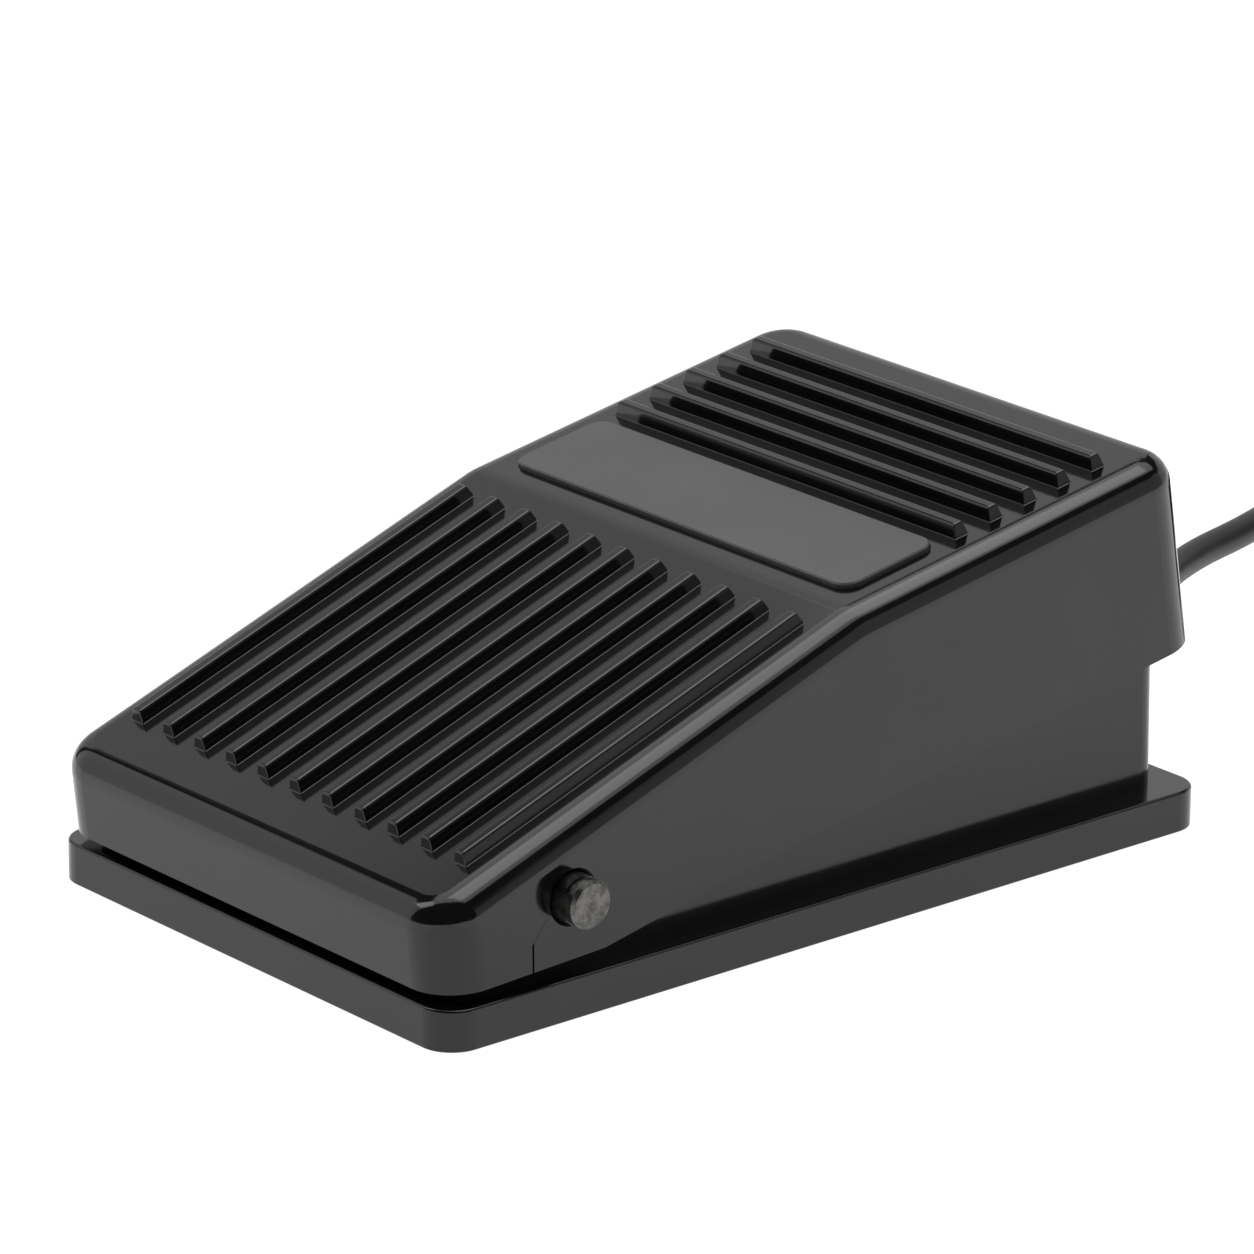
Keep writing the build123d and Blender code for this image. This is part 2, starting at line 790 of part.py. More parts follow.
with BuildPart() as pedal_core:
    with BuildSketch(rest_side):
        with BuildLine():
            Polyline(*pedal_outline(core_edge), close=True)
        make_face()
        offset(amount=-pedal_wall, kind=Kind.INTERSECTION, mode=Mode.REPLACE)
    extrude(amount=pedal_width / 2 - pedal_wall, both=True)
    fillet(edges_along(pedal_core, pedal_up), pedal_corner - pedal_wall)


def stiffener(offset_x):
    """Rib under the skin that runs from the hinge to the tail."""
    end = tail_reach - pedal_wall
    foot = stiffener_start + stiffener_depth
    points = [
        (stiffener_start, under_skin(stiffener_start, -stiffener_sink)),
        (knee_reach, under_skin(knee_reach, -stiffener_sink)),
        (end + stiffener_sink, under_skin(end, -stiffener_sink)),
        (end + stiffener_sink, under_skin(end, stiffener_depth)),
        (knee_reach, under_skin(knee_reach, stiffener_depth)),
        (foot, under_skin(foot, stiffener_depth)),
    ]
    with BuildPart() as rib:
        with BuildSketch(rest_side.offset(offset_x)):
            with BuildLine():
                Polyline(*points, close=True)
            make_face()
        extrude(amount=stiffener_thickness / 2, both=True)
    return rib.part


def on_tread_rim(edge):
    """Whether an edge lies round the top of the pedal, the ends of the knee's round left out."""
    middle = rest_side.to_local_coords(edge.center())
    way = edge.tangent_at(0.5)
    across_knee = abs(way.X) > 0.99 and abs(middle.X - knee_reach) < knee_round
    return abs(way.dot(pedal_up)) < 0.9 and middle.Y > nose_top - 1.0 and not across_knee


tip_local = rest_side.to_local_coords(Vector(0, tip_y, tip_z))
post_root = under_skin(tip_local.X, 0) + post_sink

split_near = [(u - split_width / 2, w - split_width / 3) for u, w in split_points]
split_far = [(u + split_width / 2, w + split_width / 3) for u, w in reversed(split_points)]

with BuildPart() as pedal_cover:
    with BuildSketch(rest_side):
        with BuildLine():
            Polyline(*pedal_outline(skirt_edge), close=True)
        make_face()
    extrude(amount=pedal_width / 2, both=True)
    fillet(edges_along(pedal_cover, pedal_up), pedal_corner)
    knee_place = Vector(0, knee_y, knee_z)
    fillet(pedal_cover.edges().filter_by(Axis.X).sort_by_distance(knee_place)[0], knee_round)
    fillet(pedal_cover.edges().filter_by(on_tread_rim), pedal_edge_round)
    add(pedal_core.part, mode=Mode.SUBTRACT)
    # ribs along the front tread and across the rear tread
    with BuildSketch(front_tread.offset(-rib_sink)):
        with Locations((0, -long_rib_from_knee - long_rib_length / 2)):
            with GridLocations(long_rib_pitch, 0, long_rib_count, 1):
                Rectangle(rib_width, long_rib_length)
    extrude(amount=rib_height + rib_sink, taper=rib_draft)
    with BuildSketch(rear_tread.offset(-rib_sink)):
        with Locations((0, cross_rib_from_knee + cross_rib_span / 2)):
            with GridLocations(0, cross_rib_pitch, 1, cross_rib_count):
                Rectangle(cross_rib_length, rib_width)
    extrude(amount=rib_height + rib_sink, taper=rib_draft)
    for tread in (front_tread, rear_tread):
        tops = pedal_cover.faces().filter_by(
            lambda f: f.normal_at().dot(tread.z_dir) > 0.999
            and abs(tread.to_local_coords(f.center()).Z - rib_height) < 0.05
        )
        fillet(tops.edges(), rib_top_round)
    # recess for the name plate
    with BuildSketch(rear_tread.offset(plate_stands_out - plate_thickness)):
        with Locations((0, plate_from_knee)):
            RectangleRounded(
                plate_length + 2 * plate_clearance,
                plate_width + 2 * plate_clearance,
                plate_corner + plate_clearance,
            )
    extrude(amount=plate_thickness, mode=Mode.SUBTRACT)
    # stiffeners and the post that works the switch
    add(stiffener(-stiffener_offset))
    add(stiffener(stiffener_offset))
    with BuildSketch(rest_side):
        with Locations((tip_local.X, (tip_local.Y + post_root) / 2)):
            Rectangle(post_thickness, post_root - tip_local.Y)
        with Locations((tip_local.X, tip_local.Y)):
            Circle(post_tip_radius)
    extrude(amount=post_width / 2, both=True)
    # spring pad and peg under the skin, set forward by half of their swing
    with BuildSketch(Plane.XY.offset(pad_z)):
        with Locations((0, spring_y - pad_swing / 2)):
            Circle(pad_radius)
    extrude(amount=pad_sink)
    with BuildSketch(Plane.XY.offset(pad_z)):
        with Locations((0, spring_y - pad_swing / 2)):
            Circle(pad_peg_radius)
    extrude(amount=-pad_peg_height, taper=peg_draft)
    # hinge holes in both side walls
    with BuildSketch(Plane.YZ.offset(-pedal_width / 2)):
        with Locations((pivot_y, pivot_z)):
            Circle(pin_radius + pin_running_clearance)
    extrude(amount=pedal_width, mode=Mode.SUBTRACT)
    rims = pedal_cover.edges().filter_by(GeomType.CIRCLE).filter_by(
        lambda e: abs(abs(e.center().X) - pedal_width / 2) < 0.01
    )
    chamfer(rims, pin_hole_chamfer)
    # fine split from the right hinge hole to the lower edge
    with BuildSketch(rest_side.offset(pedal_width / 2)):
        with BuildLine():
            Polyline(*split_near, *split_far, close=True)
        make_face()
    extrude(amount=-split_depth, mode=Mode.SUBTRACT)

pedal_cover.part.label = "pedal_cover"
export_step(pedal_cover.part, "parts/pedal_cover.step")


# Name plate: bare plate in the recess between the two fields of ribs
with BuildPart() as nameplate:
    with BuildSketch(rear_tread.offset(plate_stands_out - plate_thickness)):
        with Locations((0, plate_from_knee)):
            RectangleRounded(plate_length, plate_width, plate_corner)
    extrude(amount=plate_thickness)
    top_face = nameplate.faces().filter_by(lambda f: f.normal_at().dot(rear_tread.z_dir) > 0.99)
    chamfer(top_face.edges(), plate_edge)

nameplate.part.label = "nameplate"
export_step(nameplate.part, "parts/nameplate.step")


# Circuit board on four standoffs, slotted for the switch's terminals
terminal_ys = [switch_middle_y + side * terminal_spread for side in (-1, 0, 1)]
terminal_places = [(0, y) for y in terminal_ys]
with BuildPart() as circuit_board:
    with BuildSketch(Plane.XY.offset(board_bottom)):
        with Locations((0, board_middle_y)):
            RectangleRounded(board_width, board_length, board_corner)
        with Locations(*board_places):
            Circle(board_screw_radius + screw_hole_gap, mode=Mode.SUBTRACT)
        with Locations(*terminal_places):
            Rectangle(
                terminal_thickness + 2 * terminal_gap,
                terminal_width + 2 * terminal_gap,
                mode=Mode.SUBTRACT,
            )
    extrude(amount=board_thickness)

circuit_board.part.label = "circuit_board"
export_step(circuit_board.part, "parts/circuit_board.step")

board_screws = screw_group(
    board_places, board_top, -1, board_head_radius, board_head_height,
    board_screw_radius, board_screw_length,
)
board_screws.label = "board_screws"
export_step(board_screws, "parts/board_screws.step")


# Controller chip: moulded body with gull-wing leads along both sides
chip_lead_ys = [
    chip_y + (index - (chip_lead_count - 1) / 2) * chip_lead_pitch for index in range(chip_lead_count)
]
chip_lead_top = board_top + chip_lead_root


def chip_lead_outline(side):
    """Gull-wing profile of a chip lead, in X and Z, on the left (-1) or right (1)."""
    root = chip_x + side * (chip_width / 2 - chip_lead_sink)
    bend = chip_x + side * (chip_width / 2 + chip_lead_bend)
    toe = chip_x + side * (chip_width / 2 + chip_lead_toe)
    inner = bend - side * chip_lead_thickness
    return [
        (root, chip_lead_top),
        (bend, chip_lead_top),
        (bend, board_top + chip_lead_thickness),
        (toe, board_top + chip_lead_thickness),
        (toe, board_top),
        (inner, board_top),
        (inner, chip_lead_top - chip_lead_thickness),
        (root, chip_lead_top - chip_lead_thickness),
    ]


with BuildPart() as controller_chip:
    with BuildSketch(Plane.XY.offset(board_top + chip_lift)):
        with Locations((chip_x, chip_y)):
            Rectangle(chip_width, chip_length)
    extrude(amount=chip_height)
    chamfer(controller_chip.faces().sort_by(Axis.Z)[-1].edges(), chip_chamfer)
    with BuildSketch(Plane.XY.offset(board_top + chip_lift + chip_height - chip_dot_depth)):
        with Locations((chip_x - chip_width / 2 + chip_dot_inset, chip_y - chip_length / 2 + chip_dot_inset)):
            Circle(chip_dot_radius)
    extrude(amount=chip_dot_depth, mode=Mode.SUBTRACT)
    for side in (-1, 1):
        for lead_y in chip_lead_ys:
            with BuildSketch(Plane.XZ.offset(-lead_y)):
                with BuildLine():
                    Polyline(*chip_lead_outline(side), close=True)
                make_face()
            extrude(amount=chip_lead_width / 2, both=True)

controller_chip.part.label = "controller_chip"
export_step(controller_chip.part, "parts/controller_chip.step")


# Crystal can on its flange
with BuildPart() as crystal:
    with BuildSketch(Plane.XY.offset(board_top)):
        with Locations((crystal_x, crystal_y)):
            SlotOverall(crystal_length + 2 * crystal_flange, crystal_width + 2 * crystal_flange, rotation=90)
    extrude(amount=crystal_flange_thickness)
    with BuildSketch(Plane.XY.offset(board_top + crystal_flange_thickness)):
        with Locations((crystal_x, crystal_y)):
            SlotOverall(crystal_length, crystal_width, rotation=90)
    extrude(amount=crystal_height)
    fillet(crystal.edges().group_by(Axis.Z)[-1], crystal_round)

crystal.part.label = "crystal"
export_step(crystal.part, "parts/crystal.step")


def small_parts(places, height):
    """Small two-ended chip components, lying along X, with raised end caps."""
    with BuildPart() as chips:
        with BuildSketch(Plane.XY.offset(board_top)):
            with Locations(*places):
                Rectangle(small_part_length, small_part_width - 2 * small_part_step)
        extrude(amount=height - small_part_step)
        with BuildSketch(Plane.XY.offset(board_top)):
            with Locations(*places):
                with GridLocations(small_part_length - small_part_cap, 0, 2, 1):
                    Rectangle(small_part_cap, small_part_width)
        extrude(amount=height)
    return chips.part


ceramic_capacitors = small_parts(capacitor_places, capacitor_height)
ceramic_capacitors.label = "ceramic_capacitors"
export_step(ceramic_capacitors, "parts/ceramic_capacitors.step")

resistors = small_parts(resistor_places, resistor_height)
resistors.label = "resistors"
export_step(resistors, "parts/resistors.step")


# Electrolytic capacitor: sleeved can with a crimped neck
with BuildPart() as electrolytic_capacitor:
    with BuildSketch(Plane.XY.offset(board_top)):
        with Locations((can_x, can_y)):
            Circle(can_radius)
    extrude(amount=can_height)
    fillet(electrolytic_capacitor.edges(), can_round)
    with BuildSketch(Plane.XY.offset(board_top + can_neck_height)):
        with Locations((can_x, can_y)):
            Circle(can_radius + cut_past)
            Circle(can_radius - can_neck_depth, mode=Mode.SUBTRACT)
    extrude(amount=can_neck_width, mode=Mode.SUBTRACT)

electrolytic_capacitor.part.label = "electrolytic_capacitor"
export_step(electrolytic_capacitor.part, "parts/electrolytic_capacitor.step")


# Four-way header for the lead, open towards the tail, and the plug in it
way_xs = [(index - (way_count - 1) / 2) * way_pitch for index in range(way_count)]
way_z = board_top + header_height / 2
with BuildPart() as wire_header:
    with BuildSketch(Plane.XY.offset(board_top)):
        with Locations((0, header_y)):
            Rectangle(header_width, header_length)
    extrude(amount=header_height)
    with BuildSketch(Plane.XZ.offset(-header_y - header_length / 2)):
        with Locations((0, way_z)):
            Rectangle(header_width - 2 * header_wall, header_height - 2 * header_wall)
    extrude(amount=header_length - header_wall, mode=Mode.SUBTRACT)

wire_header.part.label = "wire_header"
export_step(wire_header.part, "parts/wire_header.step")

socket_end = header_y - header_length / 2 + header_wall
wire_plug_end = header_y + header_length / 2 + plug_past_header
with BuildPart() as wire_plug:
    with BuildSketch(Plane.XZ.offset(-wire_plug_end)):
        with Locations((0, way_z)):
            Rectangle(
                header_width - 2 * header_wall - 2 * plug_fit,
                header_height - 2 * header_wall - 2 * plug_fit,
            )
    extrude(amount=wire_plug_end - socket_end - plug_end_gap)
    with BuildSketch(Plane.XZ.offset(-wire_plug_end)):
        with Locations((0, way_z + way_slot_up)):
            with GridLocations(way_pitch, 0, way_count, 1):
                Rectangle(way_slot_width, way_slot_height)
    extrude(amount=way_slot_depth, mode=Mode.SUBTRACT)

wire_plug.part.label = "wire_plug"
export_step(wire_plug.part, "parts/wire_plug.step")


# Four cores from the lead's end to the plug
with BuildPart() as core_wires:
    for way_x, (dx, dz) in zip(way_xs, core_offsets):
        with BuildLine() as core_path:
            Line(
                (way_x, wire_plug_end - core_sink, way_z - core_down),
                (dx, tail_start_y + core_sink, cable_z + dz),
            )
        with BuildSketch(Plane(origin=core_path.line @ 0, z_dir=core_path.line % 0)):
            Circle(core_radius)
        sweep()

core_wires.part.label = "core_wires"
export_step(core_wires.part, "parts/core_wires.step")


# Snap switch: moulded case, its side cover, terminals, plunger, lever and lever pin
cover_inside = -switch_width / 2 + switch_cover_thickness
mounting_z = board_top + mounting_height
mounting_places = [(switch_middle_y + side * mounting_spread, mounting_z) for side in (-1, 1)]
plunger_y = lever_hinge_y - plunger_from_hinge
ear_thickness = (switch_width - lever_width) / 2 - ear_gap


def switch_slice(x_from, x_to):
    """Slice of the switch's body between two X values, with its mounting holes."""
    with BuildPart() as body:
        with BuildSketch(Plane.YZ.offset(x_from)):
            with Locations((switch_middle_y, board_top + switch_height / 2)):
                RectangleRounded(switch_length, switch_height, switch_corner)
            with Locations(*mounting_places):
                Circle(mounting_radius, mode=Mode.SUBTRACT)
        extrude(amount=x_to - x_from)
        with BuildSketch(Plane.XY.offset(switch_top)):
            with Locations((0, plunger_y)):
                Circle(plunger_radius + plunger_clearance)
        extrude(amount=-plunger_bore_depth, mode=Mode.SUBTRACT)
    return body


def lever_ear(x_from):
    """Ear that stands on the switch's top and holds one end of the lever pin."""
    with BuildPart() as ear:
        with BuildSketch(Plane.YZ.offset(x_from)):
            with Locations((lever_hinge_y, lever_hinge_z)):
                Circle(ear_radius)
            with Locations((lever_hinge_y, (lever_hinge_z + switch_top - ear_sink) / 2)):
                Rectangle(2 * ear_radius, lever_hinge_z - switch_top + ear_sink)
            with Locations((lever_hinge_y, lever_hinge_z)):
                Circle(lever_pin_radius, mode=Mode.SUBTRACT)
        extrude(amount=ear_thickness)
    return ear.part


case_slice = switch_slice(cover_inside, switch_width / 2)
with BuildPart() as switch_case:
    add(case_slice.part)
    add(lever_ear(switch_width / 2 - ear_thickness))

switch_case.part.label = "switch_case"
export_step(switch_case.part, "parts/switch_case.step")

cover_slice = switch_slice(-switch_width / 2, cover_inside)
with BuildPart() as switch_cover:
    add(cover_slice.part)
    add(lever_ear(-switch_width / 2))

switch_cover.part.label = "switch_cover"
export_step(switch_cover.part, "parts/switch_cover.step")

with BuildPart() as switch_terminals:
    with BuildSketch(Plane.XY.offset(board_top)):
        with Locations(*terminal_places):
            Rectangle(terminal_thickness, terminal_width)
    extrude(amount=-terminal_length)

switch_terminals.part.label = "switch_terminals"
export_step(switch_terminals.part, "parts/switch_terminals.step")

with BuildPart() as switch_plunger:
    with BuildSketch(Plane.XY.offset(switch_top - plunger_in_case)):
        with Locations((0, plunger_y)):
            Circle(plunger_radius)
    extrude(amount=plunger_top - switch_top + plunger_in_case)
    fillet(switch_plunger.edges().group_by(Axis.Z)[-1], plunger_round)

switch_plunger.part.label = "switch_plunger"
export_step(switch_plunger.part, "parts/switch_plunger.step")

with BuildPart() as lever_pin:
    with BuildSketch(Plane.YZ.offset(-switch_width / 2)):
        with Locations((lever_hinge_y, lever_hinge_z)):
            Circle(lever_pin_radius)
    extrude(amount=switch_width)

lever_pin.part.label = "lever_pin"
export_step(lever_pin.part, "parts/lever_pin.step")

lever_side = Plane(
    origin=(0, lever_hinge_y, lever_hinge_z),
    x_dir=(0, -cos(radians(lever_rise)), sin(radians(lever_rise))),
    z_dir=(-1, 0, 0),
)
with BuildPart() as switch_lever:
    with BuildSketch(lever_side):
        with Locations((lever_reach / 2, 0)):
            Rectangle(lever_reach, lever_thickness)
        Circle(lever_eye_radius)
        Circle(lever_pin_radius + lever_pin_clearance, mode=Mode.SUBTRACT)
    extrude(amount=lever_width / 2, both=True)

switch_lever.part.label = "switch_lever"
export_step(switch_lever.part, "parts/switch_lever.step")


# Return spring: round wire, both ends ground flat
spring_rise = spring_top_z - spring_seat_z - spring_wire / 2
spring_start = (0, spring_y, spring_seat_z + spring_wire / 4)

with BuildPart() as return_spring:
    with BuildLine() as spring_path:
        Helix(spring_rise / spring_turns, spring_rise, spring_radius, center=spring_start)
    with BuildSketch(Plane(origin=spring_path.line @ 0, z_dir=spring_path.line % 0)):
        Circle(spring_wire / 2)
    sweep(is_frenet=True)
    split(bisect_by=Plane.XY.offset(spring_seat_z), keep=Keep.TOP)
    split(bisect_by=Plane.XY.offset(spring_top_z), keep=Keep.BOTTOM)

return_spring.part.label = "return_spring"
export_step(return_spring.part, "parts/return_spring.step")


# Cable clamp: bar across the saddle, grooved for the lead
bar_bottom = cable_z + clamp_half_gap
with BuildPart() as cable_clamp:
    with BuildSketch(Plane.XY.offset(bar_bottom)):
        with Locations((0, clamp_y)):
            RectangleRounded(saddle_width, clamp_width, clamp_corner)
        with Locations(*clamp_places):
            Circle(clamp_screw_radius + screw_hole_gap, mode=Mode.SUBTRACT)
    extrude(amount=clamp_thickness)
    with BuildSketch(Plane.XZ.offset(-clamp_y - clamp_width)):
        with Locations((0, cable_z)):
            Circle(cable_radius - clamp_press)
    extrude(amount=2 * clamp_width, mode=Mode.SUBTRACT)

cable_clamp.part.label = "cable_clamp"
export_step(cable_clamp.part, "parts/cable_clamp.step")

clamp_screws = screw_group(
    clamp_places, bar_bottom + clamp_thickness, -1, clamp_head_radius, clamp_head_height,
    clamp_screw_radius, clamp_screw_length,
)
clamp_screws.label = "clamp_screws"
export_step(clamp_screws, "parts/clamp_screws.step")


# Rubber boot in the rear wall, ringed outside, and the lead's clamped end
boot_start_y = core_rear - boot_inner_thickness
boot_bore = cable_radius - boot_bore_press
boot_body = boot_radius - boot_gap
ring_places = [
    (housing_rear + boot_ring_first + index * boot_ring_pitch, cable_z + boot_body)
    for index in range(boot_ring_count)
]

with BuildPart() as cable_boot:
    with BuildSketch(Plane.YZ):
        with BuildLine():
            Polyline(
                (boot_start_y, cable_z + boot_bore),
                (boot_start_y, cable_z + boot_inner_flange),
                (core_rear, cable_z + boot_inner_flange),
                (core_rear, cable_z + boot_body),
                (housing_rear + boot_shoulder, cable_z + boot_body),
                (boot_end_y, cable_z + boot_tip_radius),
                (boot_end_y, cable_z + boot_bore), close=True,
            )
        make_face()
        with Locations(*ring_places):
            Rectangle(boot_ring_width, 2 * boot_ring_depth, mode=Mode.SUBTRACT)
    revolve(axis=Axis((0, 0, cable_z), (0, 1, 0)))

cable_boot.part.label = "cable_boot"
export_step(cable_boot.part, "parts/cable_boot.step")

with BuildPart() as cable_tail:
    with BuildSketch(Plane.XZ.offset(-boot_end_y)):
        with Locations((0, cable_z)):
            Circle(cable_radius)
    extrude(amount=boot_end_y - tail_start_y)

cable_tail.part.label = "cable_tail"
export_step(cable_tail.part, "parts/cable_tail.step")


def bend_radii(points):
    """Radius at each inner point of a lead: 0.45 of its shorter run over tan(half the turn)."""
    radii = []
    for before, here, after in zip(points, points[1:], points[2:]):
        run_in = Vector(*here) - Vector(*before)
        run_out = Vector(*after) - Vector(*here)
        half_turn = radians(run_in.get_angle(run_out)) / 2
        radii.append(0.45 * min(run_in.length, run_out.length) / tan(half_turn))
    return radii


def lead_tube(points):
    """Round tube along straight runs joined by tangent arcs."""
    radii = bend_radii(points)
    with BuildPart() as tube:
        with BuildLine() as route:
            FilletPolyline(*points, radius=radii)
        with BuildSketch(Plane(origin=route.wires()[0] @ 0, z_dir=route.wires()[0] % 0)):
            Circle(cable_radius)
        sweep(path=route.wires()[0])
    length = route.wires()[0].length
    print("lead radii", [round(r, 1) for r in radii], "length", round(length, 1))
    print("volume over section times length", round(tube.part.volume / (pi * cable_radius**2 * length), 5))
    return tube.part


usb_cable = lead_tube([(0.0, boot_end_y, cable_z), *lead_points])
usb_cable.label = "usb_cable"
export_step(usb_cable, "parts/usb_cable.step")

plug_lead = lead_tube(plug_lead_points)
plug_lead.label = "plug_lead"
export_step(plug_lead, "parts/plug_lead.step")


# Put-away coil of the lead and its hook-and-loop tie
coil_axis = Axis((coil_x, coil_y, 0), (0, 0, 1))
coil_section = Plane(origin=(coil_x, coil_y, tie_thickness), x_dir=(1, 0, 0), z_dir=(0, -1, 0))
with BuildPart() as cable_coil:
    with BuildSketch(coil_section):
        with Locations((coil_mean_radius, coil_height / 2)):
            RectangleRounded(2 * coil_half_width, coil_height, coil_corner)
    revolve(axis=coil_axis)

cable_coil.part.label = "cable_coil"
export_step(cable_coil.part, "parts/cable_coil.step")

tie_sweep = degrees(tie_width / coil_mean_radius)
tie_place = radians(tie_angle)
tie_section = Plane(
    origin=(coil_x, coil_y, tie_thickness),
    x_dir=(cos(tie_place), sin(tie_place), 0),
    z_dir=(sin(tie_place), -cos(tie_place), 0),
)
with BuildPart() as cable_tie:
    with BuildSketch(tie_section):
        with Locations((coil_mean_radius, coil_height / 2)):
            RectangleRounded(
                2 * (coil_half_width + tie_thickness), coil_height + 2 * tie_thickness,
                coil_corner + tie_thickness,
            )
            RectangleRounded(2 * coil_half_width, coil_height, coil_corner, mode=Mode.SUBTRACT)
    revolve(axis=coil_axis, revolution_arc=tie_sweep)

cable_tie.part.label = "cable_tie"
export_step(cable_tie.part, "parts/cable_tie.step")


# Plug: overmould with a tapered neck, folded shell, tongue and four contacts
plug_z = plug_body_height / 2
neck_start_y = plug_back_y - plug_neck_length
body_front_y = plug_back_y - plug_body_length
grip_sides = [(plug_x + side * plug_body_width / 2, plug_z) for side in (-1, 1)]

with BuildPart() as plug_body:
    with BuildSketch(Plane.XZ.offset(-neck_start_y)):
        with Locations((plug_x, plug_z)):
            RectangleRounded(plug_body_width, plug_body_height, plug_corner)
    extrude(amount=plug_body_length - plug_neck_length)
    with BuildSketch(Plane.XZ.offset(-neck_start_y)):
        with Locations((plug_x, plug_z)):
            RectangleRounded(
                plug_body_width - 2 * plug_shoulder_x, plug_body_height - 2 * plug_shoulder_z, plug_corner
            )
    with BuildSketch(Plane.XZ.offset(-plug_back_y)):
        with Locations((plug_x, plug_z)):
            RectangleRounded(plug_neck_width, plug_neck_height, plug_corner)
    loft()
    for groove in range(grip_count):
        with BuildSketch(Plane.XZ.offset(grip_first + groove * grip_pitch - neck_start_y)):
            with Locations(*grip_sides):
                Rectangle(2 * grip_depth, 2 * plug_body_height)
        extrude(amount=grip_width, mode=Mode.SUBTRACT)

plug_body.part.label = "plug_body"
export_step(plug_body.part, "parts/plug_body.step")

shell_front_y = body_front_y - plug_shell_length
shell_inside_width = plug_shell_width - 2 * plug_shell_wall
shell_inside_height = plug_shell_height - 2 * plug_shell_wall
with BuildPart() as plug_shell:
    with BuildSketch(Plane.XZ.offset(-body_front_y)):
        with Locations((plug_x, plug_z)):
            RectangleRounded(plug_shell_width, plug_shell_height, plug_shell_corner)
            Rectangle(shell_inside_width, shell_inside_height, mode=Mode.SUBTRACT)
    extrude(amount=plug_shell_length)
    with BuildSketch(Plane.XY):
        with Locations((plug_x, shell_front_y + latch_from_front)):
            with GridLocations(latch_spread, 0, 2, 1):
                Rectangle(latch_hole, latch_hole)
    extrude(amount=plug_body_height, mode=Mode.SUBTRACT)

plug_shell.part.label = "plug_shell"
export_step(plug_shell.part, "parts/plug_shell.step")

tongue_bottom = plug_z - shell_inside_height / 2
tongue_width = shell_inside_width - 2 * tongue_side_gap
with BuildPart() as plug_tongue:
    with BuildSketch(Plane.XY.offset(tongue_bottom)):
        with Locations((plug_x, (body_front_y + shell_front_y + tongue_inset) / 2)):
            Rectangle(tongue_width, plug_shell_length - tongue_inset)
    extrude(amount=tongue_thickness)
    with BuildSketch(Plane.XY.offset(tongue_bottom)):
        with Locations((plug_x, body_front_y - tongue_root / 2)):
            Rectangle(tongue_width, tongue_root)
    extrude(amount=shell_inside_height)

plug_tongue.part.label = "plug_tongue"
export_step(plug_tongue.part, "parts/plug_tongue.step")

with BuildPart() as plug_contacts:
    with BuildSketch(Plane.XY.offset(tongue_bottom + tongue_thickness)):
        with Locations((plug_x, shell_front_y + contact_from_front)):
            with GridLocations(contact_pitch, 0, contact_count, 1):
                Rectangle(contact_width, contact_length)
    extrude(amount=contact_thickness)

plug_contacts.part.label = "plug_contacts"
export_step(plug_contacts.part, "parts/plug_contacts.step")
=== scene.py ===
from math import cos, pi, radians, sin

import bpy
import numpy as np
from mathutils import Matrix, Vector


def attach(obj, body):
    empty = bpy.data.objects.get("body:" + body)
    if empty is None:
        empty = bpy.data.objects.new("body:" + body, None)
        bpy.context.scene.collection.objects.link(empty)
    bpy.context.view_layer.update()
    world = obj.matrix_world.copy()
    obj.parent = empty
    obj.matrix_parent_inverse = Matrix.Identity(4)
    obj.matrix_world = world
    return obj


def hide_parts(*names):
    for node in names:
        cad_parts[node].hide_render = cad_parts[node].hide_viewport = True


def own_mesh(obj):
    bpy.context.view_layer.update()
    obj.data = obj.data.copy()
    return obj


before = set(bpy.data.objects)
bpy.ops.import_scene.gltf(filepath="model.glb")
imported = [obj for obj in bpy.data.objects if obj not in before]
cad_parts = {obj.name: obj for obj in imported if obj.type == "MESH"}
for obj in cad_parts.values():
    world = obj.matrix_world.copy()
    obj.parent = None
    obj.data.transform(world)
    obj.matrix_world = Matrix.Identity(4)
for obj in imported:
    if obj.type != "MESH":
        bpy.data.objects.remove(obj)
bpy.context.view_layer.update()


# The tray and the housing are one black ABS moulding, which carries the hinge pin, the return
# spring and the boot. It is glossy off the tool, with a faint flow cloud in the gloss and the
# slight waviness that a thin moulded wall has.
class Socket:
    """An output socket of a finish's nodes. Arithmetic on it adds Math nodes, from either side."""

    def __init__(self, finish, socket):
        self.finish = finish
        self.socket = socket

    def math(self, operation, first, second=0.0):
        """A Math node of that operation on two sockets or numbers."""
        return self.finish.node("ShaderNodeMath", {"operation": operation}, {0: first, 1: second})

    def __add__(self, other):
        return self.math("ADD", self, other)

    def __sub__(self, other):
        return self.math("SUBTRACT", self, other)

    def __rsub__(self, other):
        return self.math("SUBTRACT", other, self)

    def __mul__(self, other):
        return self.math("MULTIPLY", self, other)

    def __abs__(self):
        return self.math("ABSOLUTE", self)

    __radd__ = __add__
    __rmul__ = __mul__

    def swing(self, amount):
        """A noise turned into amount times its distance from its middle, which is 0.5."""
        return amount * (self - 0.5)


